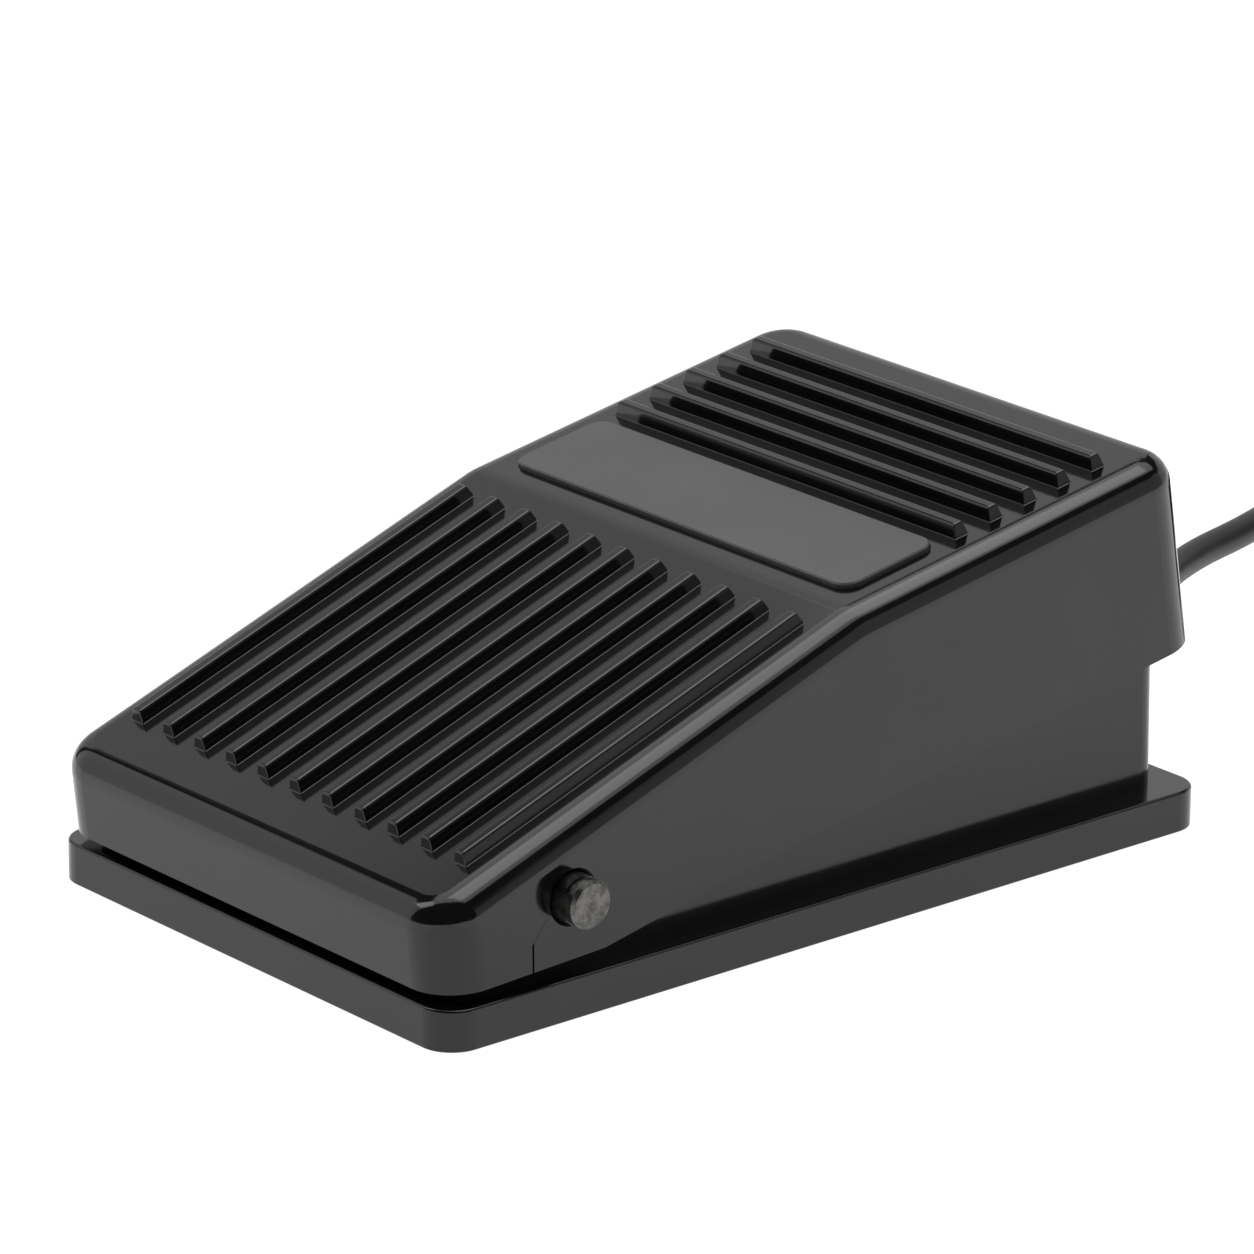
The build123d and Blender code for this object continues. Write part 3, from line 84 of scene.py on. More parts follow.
class Finish:
    """One material: its nodes, its shader and the place on the piece in metres."""

    def __init__(self, name, constants):
        self.material = bpy.data.materials.new(name)
        self.material.use_nodes = True
        self.tree = self.material.node_tree
        self.shader = self.tree.nodes["Principled BSDF"]
        for socket, value in constants.items():
            self.shader.inputs[socket].default_value = value
        self.place = self.node("ShaderNodeTexCoord", {}, {}, "Object")

    def node(self, kind, settings, sockets, output=0):
        """A node of that kind. Its settings come first, a ramp's stops among them as pairs of a
        place and a colour, and then the values or links of its sockets."""
        made = self.tree.nodes.new(kind)
        for key, value in settings.items():
            if key == "stops":
                self.set_stops(made.color_ramp, value)
            else:
                setattr(made, key, value)
        for key, value in sockets.items():
            if isinstance(value, Socket):
                self.tree.links.new(value.socket, made.inputs[key])
            else:
                made.inputs[key].default_value = value
        return Socket(self, made.outputs[output])

    def set_stops(self, ramp, stops):
        """Gives a ramp its stops, the first at 0, where each colour holds until the next."""
        ramp.interpolation = "CONSTANT"
        for place, colour in stops:
            stop = ramp.elements.new(place) if place else ramp.elements[0]
            stop.color = (*colour, 1)

    def feed(self, name, value):
        """Links a varying value to one of the shader's sockets."""
        self.tree.links.new(value.socket, self.shader.inputs[name])

    def along(self, axis):
        """The place's x, y or z, for axis 0, 1 or 2."""
        return self.node("ShaderNodeSeparateXYZ", {}, {0: self.place}, axis)

    def noise(self, size, detail=2.0, stretch=(1.0, 1.0, 1.0)):
        """Noise with features about size metres across, from 0 to 1, its middle at 0.5."""
        spread = self.node("ShaderNodeMapping", {}, {"Vector": self.place, "Scale": stretch})
        values = {"Vector": spread, "Scale": 1 / size, "Detail": detail}
        return self.node("ShaderNodeTexNoise", {}, values)

    def between(self, mask, low, high):
        """Colour low where the mask is 0, high where it is 1. In a Mix node of colours, input 0
        is the mask, inputs 6 and 7 are the colours, and output 2 is the result."""
        colours = {0: mask, 6: (*low, 1), 7: (*high, 1)}
        return self.node("ShaderNodeMix", {"data_type": "RGBA"}, colours, 2)

    def band(self, value, low, high):
        """0 below low, 1 above high, and smooth between them."""
        ranged = {"interpolation_type": "SMOOTHSTEP"}
        ends = {"Value": value, "From Min": low, "From Max": high}
        return self.node("ShaderNodeMapRange", ranged, ends)

    def relief(self, height):
        """A normal for a height in metres."""
        self.feed("Normal", self.node("ShaderNodeBump", {}, {"Height": height, "Distance": 1.0}))

    def coat_nodes(self, *names):
        """Puts the material on CAD nodes."""
        for name in names:
            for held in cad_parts[name].material_slots:
                held.material = self.material


def moulded(name, dark, light, roughness, grain_height):
    """A moulded plastic: colour cloud, gloss cloud, fine tool grain and a long slight wave."""
    wave_height = 1.5e-6
    finish = Finish(name, {"IOR": 1.5})
    cloud = finish.noise(size=0.014, detail=3.0)
    grain = finish.noise(size=0.0003)
    wave = finish.noise(size=0.0045, detail=1.0)
    finish.feed("Base Color", finish.between(finish.band(cloud, 0.35, 0.7), dark, light))
    finish.feed("Roughness", roughness + cloud.swing(0.06) + grain.swing(0.04))
    finish.relief(grain_height * grain + wave_height * wave)
    return finish


housing_finish = moulded(
    "housing_plastic", dark=(0.0035, 0.0035, 0.0036), light=(0.006, 0.006, 0.0062),
    roughness=0.13, grain_height=0.8e-6,
)
housing_finish.coat_nodes("base_housing")

# The bottom plate is a separate black moulding with a coarser, spark-eroded texture. It closes
# the tray from below and is held by four self-tapping screws.
bottom_finish = moulded(
    "bottom_plastic", dark=(0.016, 0.016, 0.017), light=(0.026, 0.026, 0.027),
    roughness=0.46, grain_height=10e-6,
)
bottom_finish.coat_nodes("bottom_plate")


# The screws are zinc-plated steel with a cross recess. Four hold the bottom plate, four the
# circuit board, and two the cable clamp.
def metal(name, dark, light, roughness, mark_size, stretch, spread=0.12):
    """A plated or ground metal: mottled colour, and roughness that runs with the tool marks."""
    mark_depth = 4e-6
    finish = Finish(name, {"Metallic": 1.0})
    mottle = finish.noise(size=0.0011, detail=4.0)
    marks = finish.noise(mark_size, detail=3.0, stretch=stretch)
    finish.feed("Base Color", finish.between(finish.band(mottle, 0.32, 0.68), dark, light))
    finish.feed("Roughness", roughness + mottle.swing(spread) + marks.swing(spread))
    finish.relief(mark_depth * marks)
    return finish


screw_finish = metal(
    "screw_steel", dark=(0.42, 0.42, 0.43), light=(0.6, 0.6, 0.62),
    roughness=0.3, mark_size=0.0002, stretch=(1, 1, 1),
)
screw_finish.coat_nodes("bottom_screws", "board_screws", "clamp_screws")


# Four black rubber feet are glued in recesses of the bottom plate, and two rubber stops in
# recesses on top of the housing, where the pressed pedal meets them.
def rubber(name, dark, light, roughness, grain_height):
    """A dull rubber: dusty colour cloud and a fine grain."""
    finish = Finish(name, {"IOR": 1.5, "Specular IOR Level": 0.4})
    cloud = finish.noise(size=0.006, detail=4.0)
    grain = finish.noise(size=0.00025, detail=3.0)
    finish.feed("Base Color", finish.between(finish.band(cloud, 0.3, 0.75), dark, light))
    finish.feed("Roughness", roughness + cloud.swing(0.12) + grain.swing(0.08))
    finish.relief(grain_height * grain)
    return finish


foot_finish = rubber(
    "foot_rubber", dark=(0.02, 0.02, 0.02), light=(0.034, 0.033, 0.032),
    roughness=0.74, grain_height=12e-6,
)
foot_finish.coat_nodes("rubber_feet", "bumper_pads")

# The circuit board is glass-epoxy laminate under green solder resist, with traces that show as
# raised lines. It is screwed to posts of the bottom plate.
trace_height = 20e-6
weave_height = 4e-6
board_finish = Finish("board_laminate", {"IOR": 1.5, "Coat Weight": 0.25, "Coat Roughness": 0.2})
weave = board_finish.noise(size=0.0006, stretch=(4.0, 0.6, 1.0))
edges = {"feature": "DISTANCE_TO_EDGE"}
cells = {"Vector": board_finish.place, "Scale": 260.0}
traces = board_finish.node("ShaderNodeTexVoronoi", edges, cells)
copper = 1 - board_finish.band(traces, 0.04, 0.07)
board_colour = board_finish.between(copper, low=(0.008, 0.075, 0.03), high=(0.02, 0.16, 0.06))
board_finish.feed("Base Color", board_colour)
board_finish.feed("Roughness", 0.36 + weave.swing(0.1))
board_finish.relief(trace_height * copper + weave_height * weave)
board_finish.coat_nodes("circuit_board")

# The controller chip is moulded in black epoxy round its lead frame. Its legs are soldered to
# the board.
chip_finish = moulded(
    "chip_epoxy", dark=(0.012, 0.012, 0.012), light=(0.022, 0.022, 0.022),
    roughness=0.55, grain_height=10e-6,
)
chip_finish.coat_nodes("controller_chip")

# The crystal's can and the switch's terminals are pressed from thin sheet, tinned or
# nickel-plated. The can stands on its flange on the board, and the terminals go down through
# slots in the board, where they are soldered.
tin_finish = metal(
    "tinned", dark=(0.58, 0.58, 0.6), light=(0.74, 0.74, 0.76),
    roughness=0.28, mark_size=0.0004, stretch=(1, 6, 1),
)
tin_finish.coat_nodes("crystal", "switch_terminals")

# Chip capacitors and resistors are small sintered blocks, the first pale and the others dark,
# soldered flat on the board by their ends.
ceramic_finish = moulded(
    "ceramic", dark=(0.34, 0.24, 0.15), light=(0.5, 0.38, 0.26), roughness=0.5, grain_height=6e-6,
)
ceramic_finish.coat_nodes("ceramic_capacitors")
resistor_finish = moulded(
    "resistor_glass", dark=(0.02, 0.02, 0.024), light=(0.05, 0.05, 0.056),
    roughness=0.35, grain_height=4e-6,
)
resistor_finish.coat_nodes("resistors")

# The electrolytic capacitor is an aluminium can in a shrunk dark blue sleeve. It stands on the
# board.
can_finish = moulded(
    "can_sleeve", dark=(0.008, 0.02, 0.09), light=(0.014, 0.035, 0.14),
    roughness=0.3, grain_height=3e-6,
)
can_finish.coat_nodes("electrolytic_capacitor")

# The wire header and its plug are off-white nylon mouldings. The header is soldered to the
# board near its rear edge, and the plug is pushed into it.
nylon_finish = moulded(
    "white_plastic", dark=(0.66, 0.63, 0.55), light=(0.78, 0.75, 0.68),
    roughness=0.42, grain_height=5e-6,
)
nylon_finish.coat_nodes("wire_header", "wire_plug")

# The lead's four cores are thin wires in coloured insulation. They run side by side from the
# lead's end to the plug of the header, and are told apart by their place across.
cores_reach = 0.0045
core_colours = [
    (0.0, (0.45, 0.02, 0.015)),
    (0.3, (0.62, 0.6, 0.56)),
    (0.5, (0.02, 0.25, 0.06)),
    (0.7, (0.012, 0.012, 0.012)),
]
core_finish = Finish("core_insulation", {"IOR": 1.5, "Roughness": 0.38})
core_place = core_finish.band(core_finish.along(0), -cores_reach, cores_reach)
core_colour = core_finish.node("ShaderNodeValToRGB", {"stops": core_colours}, {0: core_place})
core_finish.feed("Base Color", core_colour)
core_finish.relief(6e-6 * core_finish.noise(size=0.0004))
core_finish.coat_nodes("core_wires")

# The snap-action switch is a bought part that stands on the board: a case and a cover of
# glass-filled black plastic, and a red plunger that its lever presses.
switch_finish = moulded(
    "switch_plastic", dark=(0.03, 0.03, 0.031), light=(0.05, 0.05, 0.052),
    roughness=0.5, grain_height=14e-6,
)
switch_finish.coat_nodes("switch_case", "switch_cover")
plunger_finish = moulded(
    "plunger_plastic", dark=(0.5, 0.06, 0.03), light=(0.62, 0.1, 0.06),
    roughness=0.36, grain_height=4e-6,
)
plunger_finish.coat_nodes("switch_plunger")

# The switch's lever is a strip of bright hard steel with a rolled eye. It turns on a pin of the
# same steel between two ears of the switch's case, and the pedal's post presses it down.
spring_finish = metal(
    "spring_steel", dark=(0.42, 0.42, 0.44), light=(0.62, 0.62, 0.64),
    roughness=0.24, mark_size=0.0003, stretch=(1, 1, 8),
)
spring_finish.coat_nodes("switch_lever", "lever_pin")

# The return spring is wound of bright hard wire, with its ends ground flat. It stands in the cup
# of the housing under the pedal, and is pressed together as the pedal goes down.
mm = 0.001
spring_middle = (0.0, 28.0)
spring_seat = 17.235
spring_top = 34.62
spring_radius = 4.4
spring_turns = 6.5
wire_diameter = 1.1


def put_in_scene(name, data):
    """An object for a mesh, a curve, a light or a camera, at the origin."""
    held = bpy.data.objects.new(name, data)
    bpy.context.scene.collection.objects.link(held)
    return held


def smooth_piece(name, points, faces, finish):
    """A smoothly shaded object from points in millimetres and faces as lists of their numbers."""
    mesh = bpy.data.meshes.new(name)
    mesh.from_pydata((points.reshape(-1, 3) * mm).tolist(), [], faces)
    mesh.polygons.foreach_set("use_smooth", [True] * len(mesh.polygons))
    mesh.materials.append(finish.material)
    return put_in_scene(name, mesh)


def wound_wire(steps=260, around=12):
    """Helix of round wire: its middle line goes round at spring_radius and rises evenly, and the
    wire's circle lies in the plane of the radius and of the line at right angles to the winding.
    What stands past the two ground ends is flattened to them."""
    rise = spring_top - spring_seat - wire_diameter / 2
    turned = np.linspace(0, 2 * pi * spring_turns, steps)[:, None]
    slope = np.arctan(rise / (2 * pi * spring_radius * spring_turns))
    round_wire = np.arange(around)[None, :] * 2 * pi / around
    outwards = spring_radius + wire_diameter / 2 * np.cos(round_wire)
    sideways = wire_diameter / 2 * np.sin(round_wire)
    x = spring_middle[0] + outwards * np.cos(turned) + sideways * np.sin(slope) * np.sin(turned)
    y = spring_middle[1] + outwards * np.sin(turned) - sideways * np.sin(slope) * np.cos(turned)
    climbed = rise * turned / (2 * pi * spring_turns)
    z = spring_seat + wire_diameter / 4 + climbed + sideways * np.cos(slope)
    return np.stack([x, y, np.clip(z, spring_seat, spring_top)], axis=2)


wire = wound_wire()
wire_numbers = np.arange(wire.shape[0] * wire.shape[1]).reshape(wire.shape[:2])
wire_beside = np.roll(wire_numbers, -1, axis=1)
wire_skin = np.stack(
    [wire_numbers[:-1], wire_numbers[1:], wire_beside[1:], wire_beside[:-1]], axis=-1,
).reshape(-1, 4).tolist()
wire_ends = [wire_numbers[0].tolist(), wire_numbers[-1, ::-1].tolist()]
spring = smooth_piece("spring_wire", wire, wire_skin + wire_ends, spring_finish)
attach(spring, "base")
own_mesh(spring)
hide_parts("return_spring")

# The cable clamp is a small black moulding. Two screws press it on the lead inside the tray, so
# that a pull on the lead doesn't reach the board.
clamp_finish = moulded(
    "clamp_plastic", dark=(0.02, 0.02, 0.021), light=(0.03, 0.03, 0.031),
    roughness=0.4, grain_height=6e-6,
)
clamp_finish.coat_nodes("cable_clamp")

# The pedal is a black ABS cover with a knee and rounded rims, and turns on the hinge pin. Its
# shell is the solid's own, with the solid's ribs pressed just below the treads, because the
# ribs of the next section stand there.
pedal_finish = moulded(
    "pedal_plastic", dark=(0.0035, 0.0035, 0.0036), light=(0.006, 0.006, 0.0062),
    roughness=0.11, grain_height=0.8e-6,
)
pivot = Vector((0, -34.1, 13.2))
rest_tilt = radians(9.5)
knee = (39.2, 14.25)
front_slope = radians(10.22)
rear_slope = radians(0.705)
front_ribbed = (-50.0, -2.5)
rear_ribbed = (15.5, 39.0)
above_tread = 0.01
below_tread = 0.05


def tread_frame(slope):
    """The frame of a tread: across, rearwards along it and up from it, with the knee as origin.
    The knee's place is given rearwards and up from the pivot, before the rest tilt."""
    turn = Matrix.Rotation(rest_tilt, 4, "X")
    to_knee = Matrix.Translation((0, *knee))
    return Matrix.Translation(pivot) @ turn @ to_knee @ Matrix.Rotation(slope, 4, "X")


front_tread = tread_frame(front_slope)
rear_tread = tread_frame(rear_slope)


def ribs_pressed(points):
    """Points that stand above a tread where it has ribs go straight down to just below it."""
    for tread, (start, end) in [(front_tread, front_ribbed), (rear_tread, rear_ribbed)]:
        into = np.array(tread.inverted())
        local = points @ into[:3, :3].T + into[:3, 3]
        standing = (local[:, 1] > start) & (local[:, 1] < end) & (local[:, 2] > above_tread)
        rise = np.where(standing, local[:, 2] + below_tread, 0.0)
        points = points - rise[:, None] * np.array(tread)[:3, 2]
    return points


def merged_copy(name, node, moved, finish):
    """A copy of a CAD node with its loose triangles joined, its shading normals kept, and its
    vertices put through moved(points), in millimetres."""
    source = node.data
    points = np.empty(3 * len(source.vertices), np.float32)
    source.vertices.foreach_get("co", points)
    corners = np.empty(len(source.loops), np.int32)
    source.loops.foreach_get("vertex_index", corners)
    normals = np.empty(3 * len(source.loops), np.float32)
    source.corner_normals.foreach_get("vector", normals)
    tenths_of_a_micron = np.round(points.reshape(-1, 3) / mm, 4)
    places, joined = np.unique(tenths_of_a_micron, axis=0, return_inverse=True)
    triangles = joined.reshape(-1)[corners].reshape(-1, 3)
    whole = (triangles != np.roll(triangles, 1, axis=1)).all(axis=1)
    copy = smooth_piece(name, moved(places), triangles[whole].tolist(), finish)
    kept_normals = normals.reshape(-1, 3, 3)[whole].reshape(-1, 3)
    copy.data.normals_split_custom_set(kept_normals.tolist())
    return copy


shell = merged_copy("pedal_shell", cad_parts["pedal_cover"], ribs_pressed, pedal_finish)
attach(shell, "pedal")
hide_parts("pedal_cover")

# The grip ribs are moulded with the pedal: eleven run along the front tread and five across the
# rear one. They taper to a rounded crest, and a very small fillet joins each to the tread.
long_ribs = 11
long_pitch = 5.09
long_length = 45.12
long_middle = -26.2
long_height = 1.35
cross_ribs = 5
cross_pitch = 4.688
cross_length = 52.12
cross_first = 17.85
cross_height = 1.5
rib_width = 1.82
rib_draft = radians(13.0)
rib_crest_round = 0.33
rib_foot_round = 0.12
rib_corner = 0.12
rib_least_corner = 0.1
rib_embedded = 0.1
foot_steps = 5
crest_steps = 7
corner_steps = 6


def rib_surface(length, rib_height):
    """Rings of a tapered bar with rounded corners. Ring k is the rectangle of the bar's length
    and rib_width, taken in by inset(k), at height(k). Up the foot fillet of radius r, inset is
    r sin(a) - reach and height is r (1 - cos(a)). Over the crest's round, inset is the drafted
    wall's own at the top + reach - r cos(a), and height is the top - r (1 - sin(a)). Reach is
    r tan of half the wall's angle, where the arc touches the level face."""
    half_wall = (pi / 2 - rib_draft) / 2
    foot = np.linspace(0, pi / 2 - rib_draft, foot_steps)
    foot_reach = rib_foot_round * np.tan(half_wall)
    foot_in = -foot_reach + rib_foot_round * np.sin(foot)
    foot_up = rib_foot_round * (1 - np.cos(foot))
    crest = np.linspace(rib_draft, pi / 2, crest_steps)
    crest_reach = rib_crest_round * np.tan(half_wall)
    crest_in = rib_height * np.tan(rib_draft) + crest_reach - rib_crest_round * np.cos(crest)
    crest_up = rib_height - rib_crest_round * (1 - np.sin(crest))
    inset = np.concatenate([[foot_in[0]], foot_in, crest_in])
    height = np.concatenate([[-rib_embedded], foot_up, crest_up])
    quarter = np.linspace(0, pi / 2, corner_steps)
    angle = np.concatenate([quarter, quarter + pi / 2, quarter + pi, quarter + 3 * pi / 2])
    corner_x = np.repeat([1, -1, -1, 1], corner_steps)
    corner_y = np.repeat([1, 1, -1, -1], corner_steps)
    radius = np.maximum(rib_corner - inset, rib_least_corner)[:, None]
    half_x = (rib_width / 2 - inset)[:, None] - radius
    half_y = (length / 2 - inset)[:, None] - radius
    x = corner_x * half_x + radius * np.cos(angle)
    y = corner_y * half_y + radius * np.sin(angle)
    return np.stack([x, y, np.repeat(height[:, None], len(angle), axis=1)], axis=2)


def stood_on(tread, bars):
    """Points of bars in a tread's frame, taken to the object's."""
    turn = np.array(tread)
    return bars @ turn[:3, :3].T + turn[:3, 3]


long_places = (np.arange(long_ribs) - (long_ribs - 1) / 2) * long_pitch
long_bar = rib_surface(long_length, long_height)
long_bars = np.stack([long_bar + (x, long_middle, 0) for x in long_places])

# A cross rib is the same bar turned a quarter round, so that its x becomes y and its y minus x
cross_places = cross_first + cross_pitch * np.arange(cross_ribs)
cross_bar = rib_surface(cross_length, cross_height)[:, :, [1, 0, 2]] * (-1, 1, 1)
cross_bars = np.stack([cross_bar + (0, y, 0) for y in cross_places])

bars = np.concatenate([stood_on(front_tread, long_bars), stood_on(rear_tread, cross_bars)])
bar_numbers = np.arange(bars.size // 3).reshape(bars.shape[:3])
bar_beside = np.roll(bar_numbers, -1, axis=2)
bar_walls = np.stack(
    [bar_numbers[:, :-1], bar_beside[:, :-1], bar_beside[:, 1:], bar_numbers[:, 1:]], axis=-1,
).reshape(-1, 4).tolist()
bar_caps = bar_numbers[:, -1].tolist() + bar_numbers[:, 0, ::-1].tolist()
ribs = smooth_piece("grip_ribs", bars, bar_walls + bar_caps, pedal_finish)
even = ribs.modifiers.new("even_shading", "WEIGHTED_NORMAL")
even.weight = 100
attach(ribs, "pedal")

# The nameplate is a thin bare plate of matt dark plastic with rounded corners. It is glued in
# its recess behind the knee.
plate_finish = moulded(
    "plate_face", dark=(0.068, 0.068, 0.069), light=(0.08, 0.08, 0.081),
    roughness=0.42, grain_height=3e-6,
)
plate_finish.coat_nodes("nameplate")

# The hinge pin is ground steel, pressed through the housing's barrel. It is cropped and faced,
# so its end is mottled and dull.
speck_height = 10e-6
blotch_height = 12e-6
pin_finish = Finish("pin_steel", {"Metallic": 1.0})
blotch = pin_finish.noise(size=0.0012, detail=5.0)
speck = pin_finish.noise(size=0.00022)
stain = pin_finish.band(0.7 * blotch + 0.3 * speck, 0.38, 0.62)
pin_colour = pin_finish.between(stain, low=(0.075, 0.073, 0.07), high=(0.17, 0.166, 0.16))
pin_finish.feed("Base Color", pin_colour)
pin_finish.feed("Roughness", 0.4 + blotch.swing(0.25) + speck.swing(0.2))
pin_finish.relief(speck_height * speck + blotch_height * blotch)
pin_finish.coat_nodes("pivot_pin")

# The boot is a short ringed sleeve of soft black rubber. It is pressed into the rear wall of the
# housing and keeps the lead from kinking there.
boot_finish = rubber(
    "boot_rubber", dark=(0.013, 0.013, 0.013), light=(0.018, 0.018, 0.018),
    roughness=0.5, grain_height=5e-6,
)
boot_finish.coat_nodes("cable_boot")

# The lead is round flexible cable with a soft matt black jacket. It leaves the boot level, sinks
# to the floor in an easy bend, and the rest of it is wound in a coil that ends in the plug.
cable_diameter = 3.5
coil_centre = (-19.0, 165.0)
coil_mean_radius = 20.8
coil_rise = 2.95
coil_pitch = 3.95
coil_bottom = 2.55
coil_points = 16
coil_turns = 12.5
lead_route = [
    (0, 51, 7.6), (0, 60.5, 7.6), (-3.8, 71.5, 5.4), (-13, 82.5, 2.6), (-22.5, 93.5, 1.85),
    (-29.2, 106, 1.76), (-32.2, 119.2, 1.76), (-37.2, 132, 1.78), (-41.2, 144.5, 2.0),
    (-43.4, 157, 2.5),
]
plug_route = [(5.55, 157.5, 7.6), (5.6, 150.5, 5.1), (5.6, 146.5, 3.95), (5.6, 143, 3.95)]

# Places of the turns in the coil's section: steps across from its middle, and layers up
turn_places = [
    (1, 0), (0, 0), (-1, 0), (-0.5, 1), (0.5, 1), (0, 2), (-1, 2), (-0.5, 3), (-1, 4), (0, 4),
    (1, 4), (0.5, 3), (1, 2),
]


def coil_route(easing=0.14, first=0.74, sooner=0.0218):
    """Points round the coil. A turn keeps its place in the section until the share first of it,
    then eases over to the next place during the share easing, and each turn begins to ease
    sooner than the one before. The points lie a little outside the turns, because the spline
    runs inside its points by a quarter of 1 - cos of the angle between two of them."""
    travel = np.arange(0, coil_turns * coil_points + 0.5) / coil_points
    turn = np.minimum(travel.astype(int), len(turn_places) - 1)
    share = np.clip((travel - turn - (first - sooner * turn)) / easing, 0, 1)
    share = share * share * (3 - 2 * share)
    places = np.array(turn_places + turn_places[-1:], float)
    across, layer = ((1 - share)[:, None] * places[turn] + share[:, None] * places[turn + 1]).T
    run_inside = (1 - cos(2 * pi / coil_points)) / 4
    radius = (coil_mean_radius + coil_pitch * across) / (1 - run_inside)
    angle = pi - 2 * pi * travel
    x = coil_centre[0] + radius * np.cos(angle)
    y = coil_centre[1] + radius * np.sin(angle)
    return np.stack([x, y, coil_bottom + coil_rise * layer], axis=1).tolist()


curve = bpy.data.curves.new("usb_lead", "CURVE")
curve.dimensions = "3D"
curve.bevel_depth = cable_diameter / 2 * mm
curve.bevel_resolution = 5
curve.resolution_u = 6
curve.use_fill_caps = True
spline = curve.splines.new("NURBS")
route = lead_route + coil_route() + plug_route
spline.points.add(len(route) - 1)
spline.points.foreach_set("co", [c for x, y, z in route for c in (x * mm, y * mm, z * mm, 1.0)])
spline.order_u = 3
spline.use_endpoint_u = True
lead = put_in_scene("usb_lead", curve)
jacket_finish = rubber(
    "cable_jacket", dark=(0.016, 0.016, 0.0165), light=(0.022, 0.022, 0.0225),
    roughness=0.46, grain_height=4e-6,
)
curve.materials.append(jacket_finish.material)
jacket_finish.coat_nodes("cable_tail")
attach(lead, "base")
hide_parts("usb_cable", "cable_coil", "plug_lead")

# The tie is a strap of black hook-and-loop tape. It is wrapped round the turns of the coil, with
# its looped pile outside.
tie_finish = rubber(
    "tie_fabric", dark=(0.014, 0.014, 0.015), light=(0.03, 0.03, 0.032),
    roughness=0.9, grain_height=60e-6,
)
tie_finish.coat_nodes("cable_tie")

# The plug has a black over-moulded body, a nickel-plated folded shell, a white tongue in it and
# four gold-flashed contacts.
plug_finish = moulded(
    "plug_plastic", dark=(0.015, 0.015, 0.0155), light=(0.021, 0.021, 0.0215),
    roughness=0.4, grain_height=6e-6,
)
plug_finish.coat_nodes("plug_body")
shell_finish = metal(
    "plug_steel", dark=(0.66, 0.66, 0.68), light=(0.78, 0.78, 0.8),
    roughness=0.16, mark_size=0.0005, stretch=(1, 6, 1), spread=0.06,
)
shell_finish.coat_nodes("plug_shell")
nylon_finish.coat_nodes("plug_tongue")
brass_finish = metal(
    "contact_brass", dark=(0.72, 0.5, 0.2), light=(0.84, 0.62, 0.3),
    roughness=0.2, mark_size=0.0005, stretch=(1, 6, 1), spread=0.06,
)
brass_finish.coat_nodes("plug_contacts")

# The floor is plain white paper that glows by itself, so that hardly any shadow is left on it.
# Its glow is dimmed by painted shade close to the object and along a strip through it, which the
# glossy walls mirror.
floor_reach = 6000.0
# The floor's glow: dimmer in the painted shade, brighter away from it
painted_shade_glow = (1.01, 1.01, 1.01)
unshaded_glow = (1.22, 1.22, 1.22)
strip_across = (0.65, 0.76)
strip_offset = 0.018
half_width = 0.031
half_length = 0.05
floor_finish = Finish("floor_paper", {
    "Base Color": (0.06, 0.06, 0.06, 1), "Roughness": 0.9, "Emission Strength": 1.0,
})
floor_x = floor_finish.along(0)
floor_y = floor_finish.along(1)
aside = abs(floor_x * strip_across[0] + floor_y * strip_across[1] + strip_offset)
apart = floor_x.math("MAXIMUM", abs(floor_x) - half_width, abs(floor_y) - half_length)
# The glow is dimmed, a painted shade, close to the object and along the strip
out_of_painted_shade = floor_finish.band(aside, 0.015, 0.055) * floor_finish.band(apart, 0.004, 0.04)
floor_finish.feed("Emission Color", floor_finish.between(out_of_painted_shade, painted_shade_glow, unshaded_glow))
floor_corners = np.array([(-1, -1, 0), (1, -1, 0), (1, 1, 0), (-1, 1, 0)]) * floor_reach
floor = smooth_piece("floor", floor_corners, [(0, 1, 2, 3)], floor_finish)

# The lamps are soft boxes: a ring of upright ones round the back and the left, as high as 44
# degrees over the object, a dark gap over them, bright ones overhead and a small key light. The
# camera's side stays dark.
lit_centre = Vector((0, 0.02, 0.02))
ring_distance = 1.5


def softbox(name, towards, distance, width, height, radiance, centre=lit_centre):
    """A rectangular soft light at a direction and distance from a centre, facing it."""
    light = bpy.data.lights.new(name, "AREA")
    light.shape = "RECTANGLE"
    light.size = width
    light.size_y = height
    light.energy = radiance * pi * width * height
    held = put_in_scene(name, light)
    direction = Vector(towards).normalized()
    held.location = direction * distance + centre
    held.rotation_euler = direction.to_track_quat("Z", "Y").to_euler()


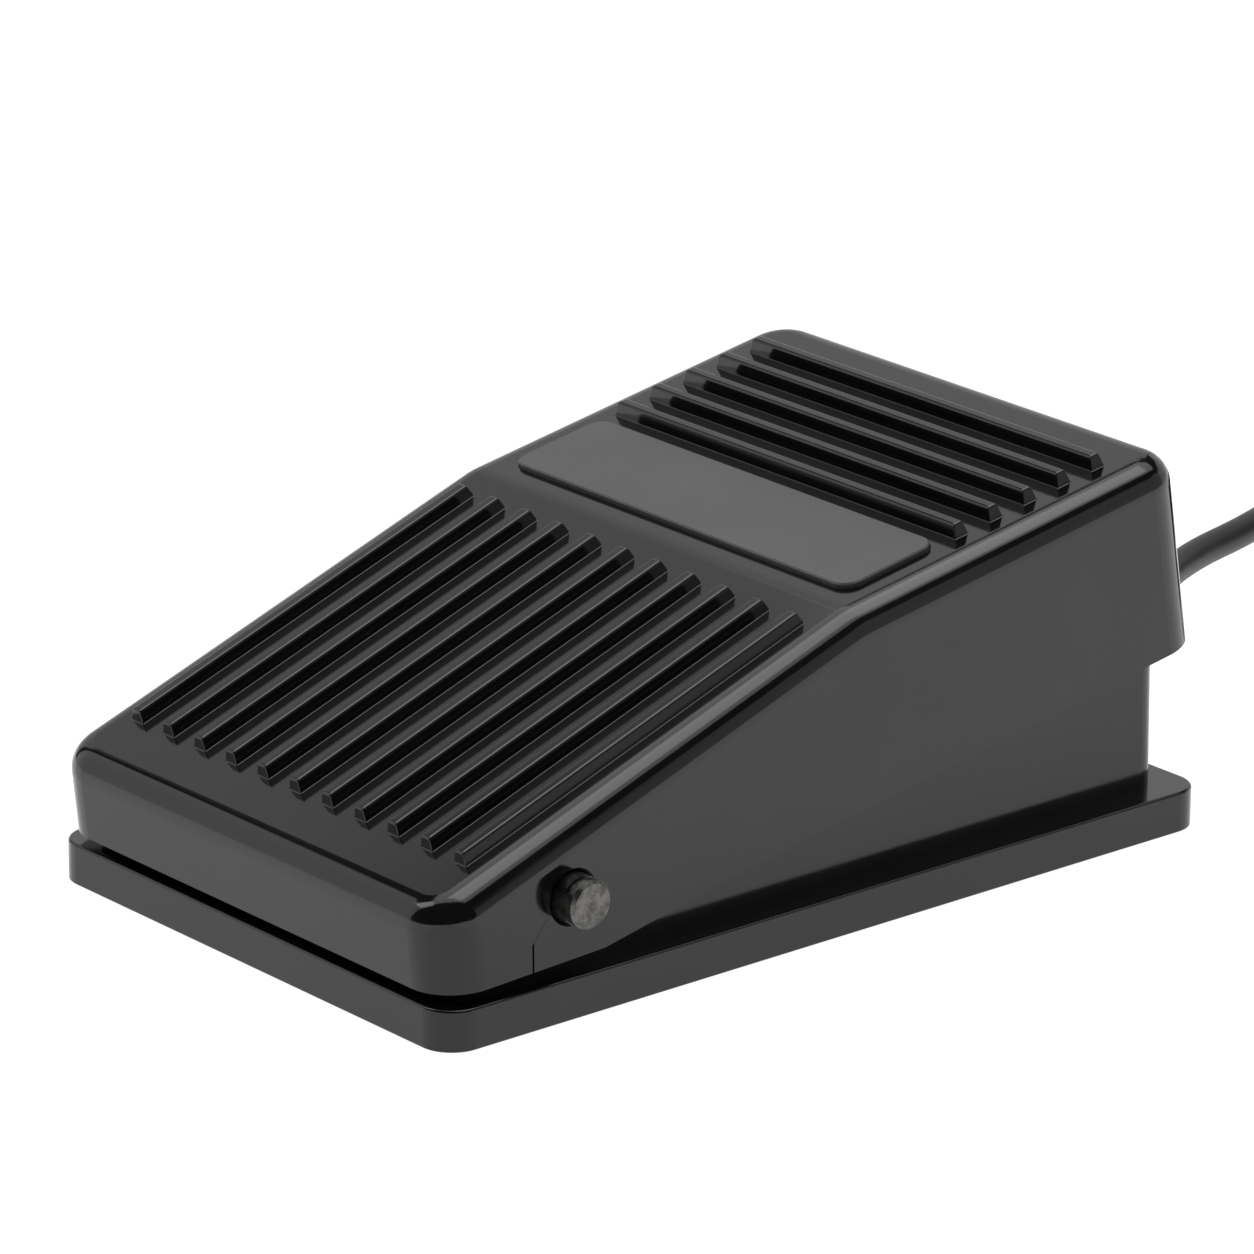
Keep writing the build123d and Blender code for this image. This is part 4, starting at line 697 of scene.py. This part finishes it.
def upright_box(name, azimuth, half_angle, top, radiance):
    """A soft box that stands at ring_distance, as wide and as high as those angles."""
    height = ring_distance * np.tan(radians(top))
    width = 2 * ring_distance * np.tan(radians(half_angle))
    towards = (cos(radians(azimuth)), sin(radians(azimuth)), 0)
    middle = lit_centre + Vector((0, 0, height / 2))
    softbox(name, towards, ring_distance, width, height, radiance, middle)


softbox("overhead", towards=(-0.1, 0.2, 0.97), distance=1.2, width=1.5, height=1.3, radiance=1.5)
softbox(
    "overhead_core", towards=(-0.02, 0.2, 0.98), distance=1.2, width=0.8, height=0.8, radiance=1.9,
)
softbox(
    "left_key", towards=(-0.45, -0.46, 0.77), distance=1.2, width=0.4, height=0.4, radiance=3.0,
)
upright_box("left_rear", azimuth=152, half_angle=28, top=42.5, radiance=0.7)
upright_box("left_front", azimuth=212, half_angle=24, top=44, radiance=0.95)
upright_box("rear", azimuth=95, half_angle=28, top=30, radiance=0.8)
upright_box("right_rear", azimuth=42, half_angle=24, top=38, radiance=0.45)

# The room round the lamps is nearly dark
world = bpy.data.worlds.new("studio")
bpy.context.scene.world = world
world.use_nodes = True
world.node_tree.nodes["Background"].inputs["Color"].default_value = (0.04, 0.04, 0.0405, 1)
bpy.context.scene.view_settings.view_transform = "Standard"

# The camera stands where the photograph was taken from: its angles, lens and distance were
# solved from the object's own corners. It aims a little beside and above the origin.
azimuth = radians(49.525)
elevation = radians(19.197)
roll = radians(0.54)
camera_distance = 0.773634
aimed_right = -0.000887
aimed_up = 0.022524
aimed_from = Vector((0, 0, 0.0008))
back = Vector((sin(azimuth) * cos(elevation), -cos(azimuth) * cos(elevation), sin(elevation)))
level = Vector((0, 0, 1)).cross(back).normalized()
upright = back.cross(level)
right = level * cos(roll) + upright * sin(roll)
up = upright * cos(roll) - level * sin(roll)
camera_data = bpy.data.cameras.new("camera")
camera_data.lens = 219.04
camera_data.sensor_width = 36.0
camera_data.clip_start = 0.01
camera_data.clip_end = 50.0
camera = put_in_scene("camera", camera_data)
camera_place = right * aimed_right + up * aimed_up + back * camera_distance + aimed_from
camera_turn = Matrix((right, up, back)).transposed().to_4x4()
camera.matrix_world = Matrix.Translation(camera_place) @ camera_turn
bpy.context.scene.camera = camera
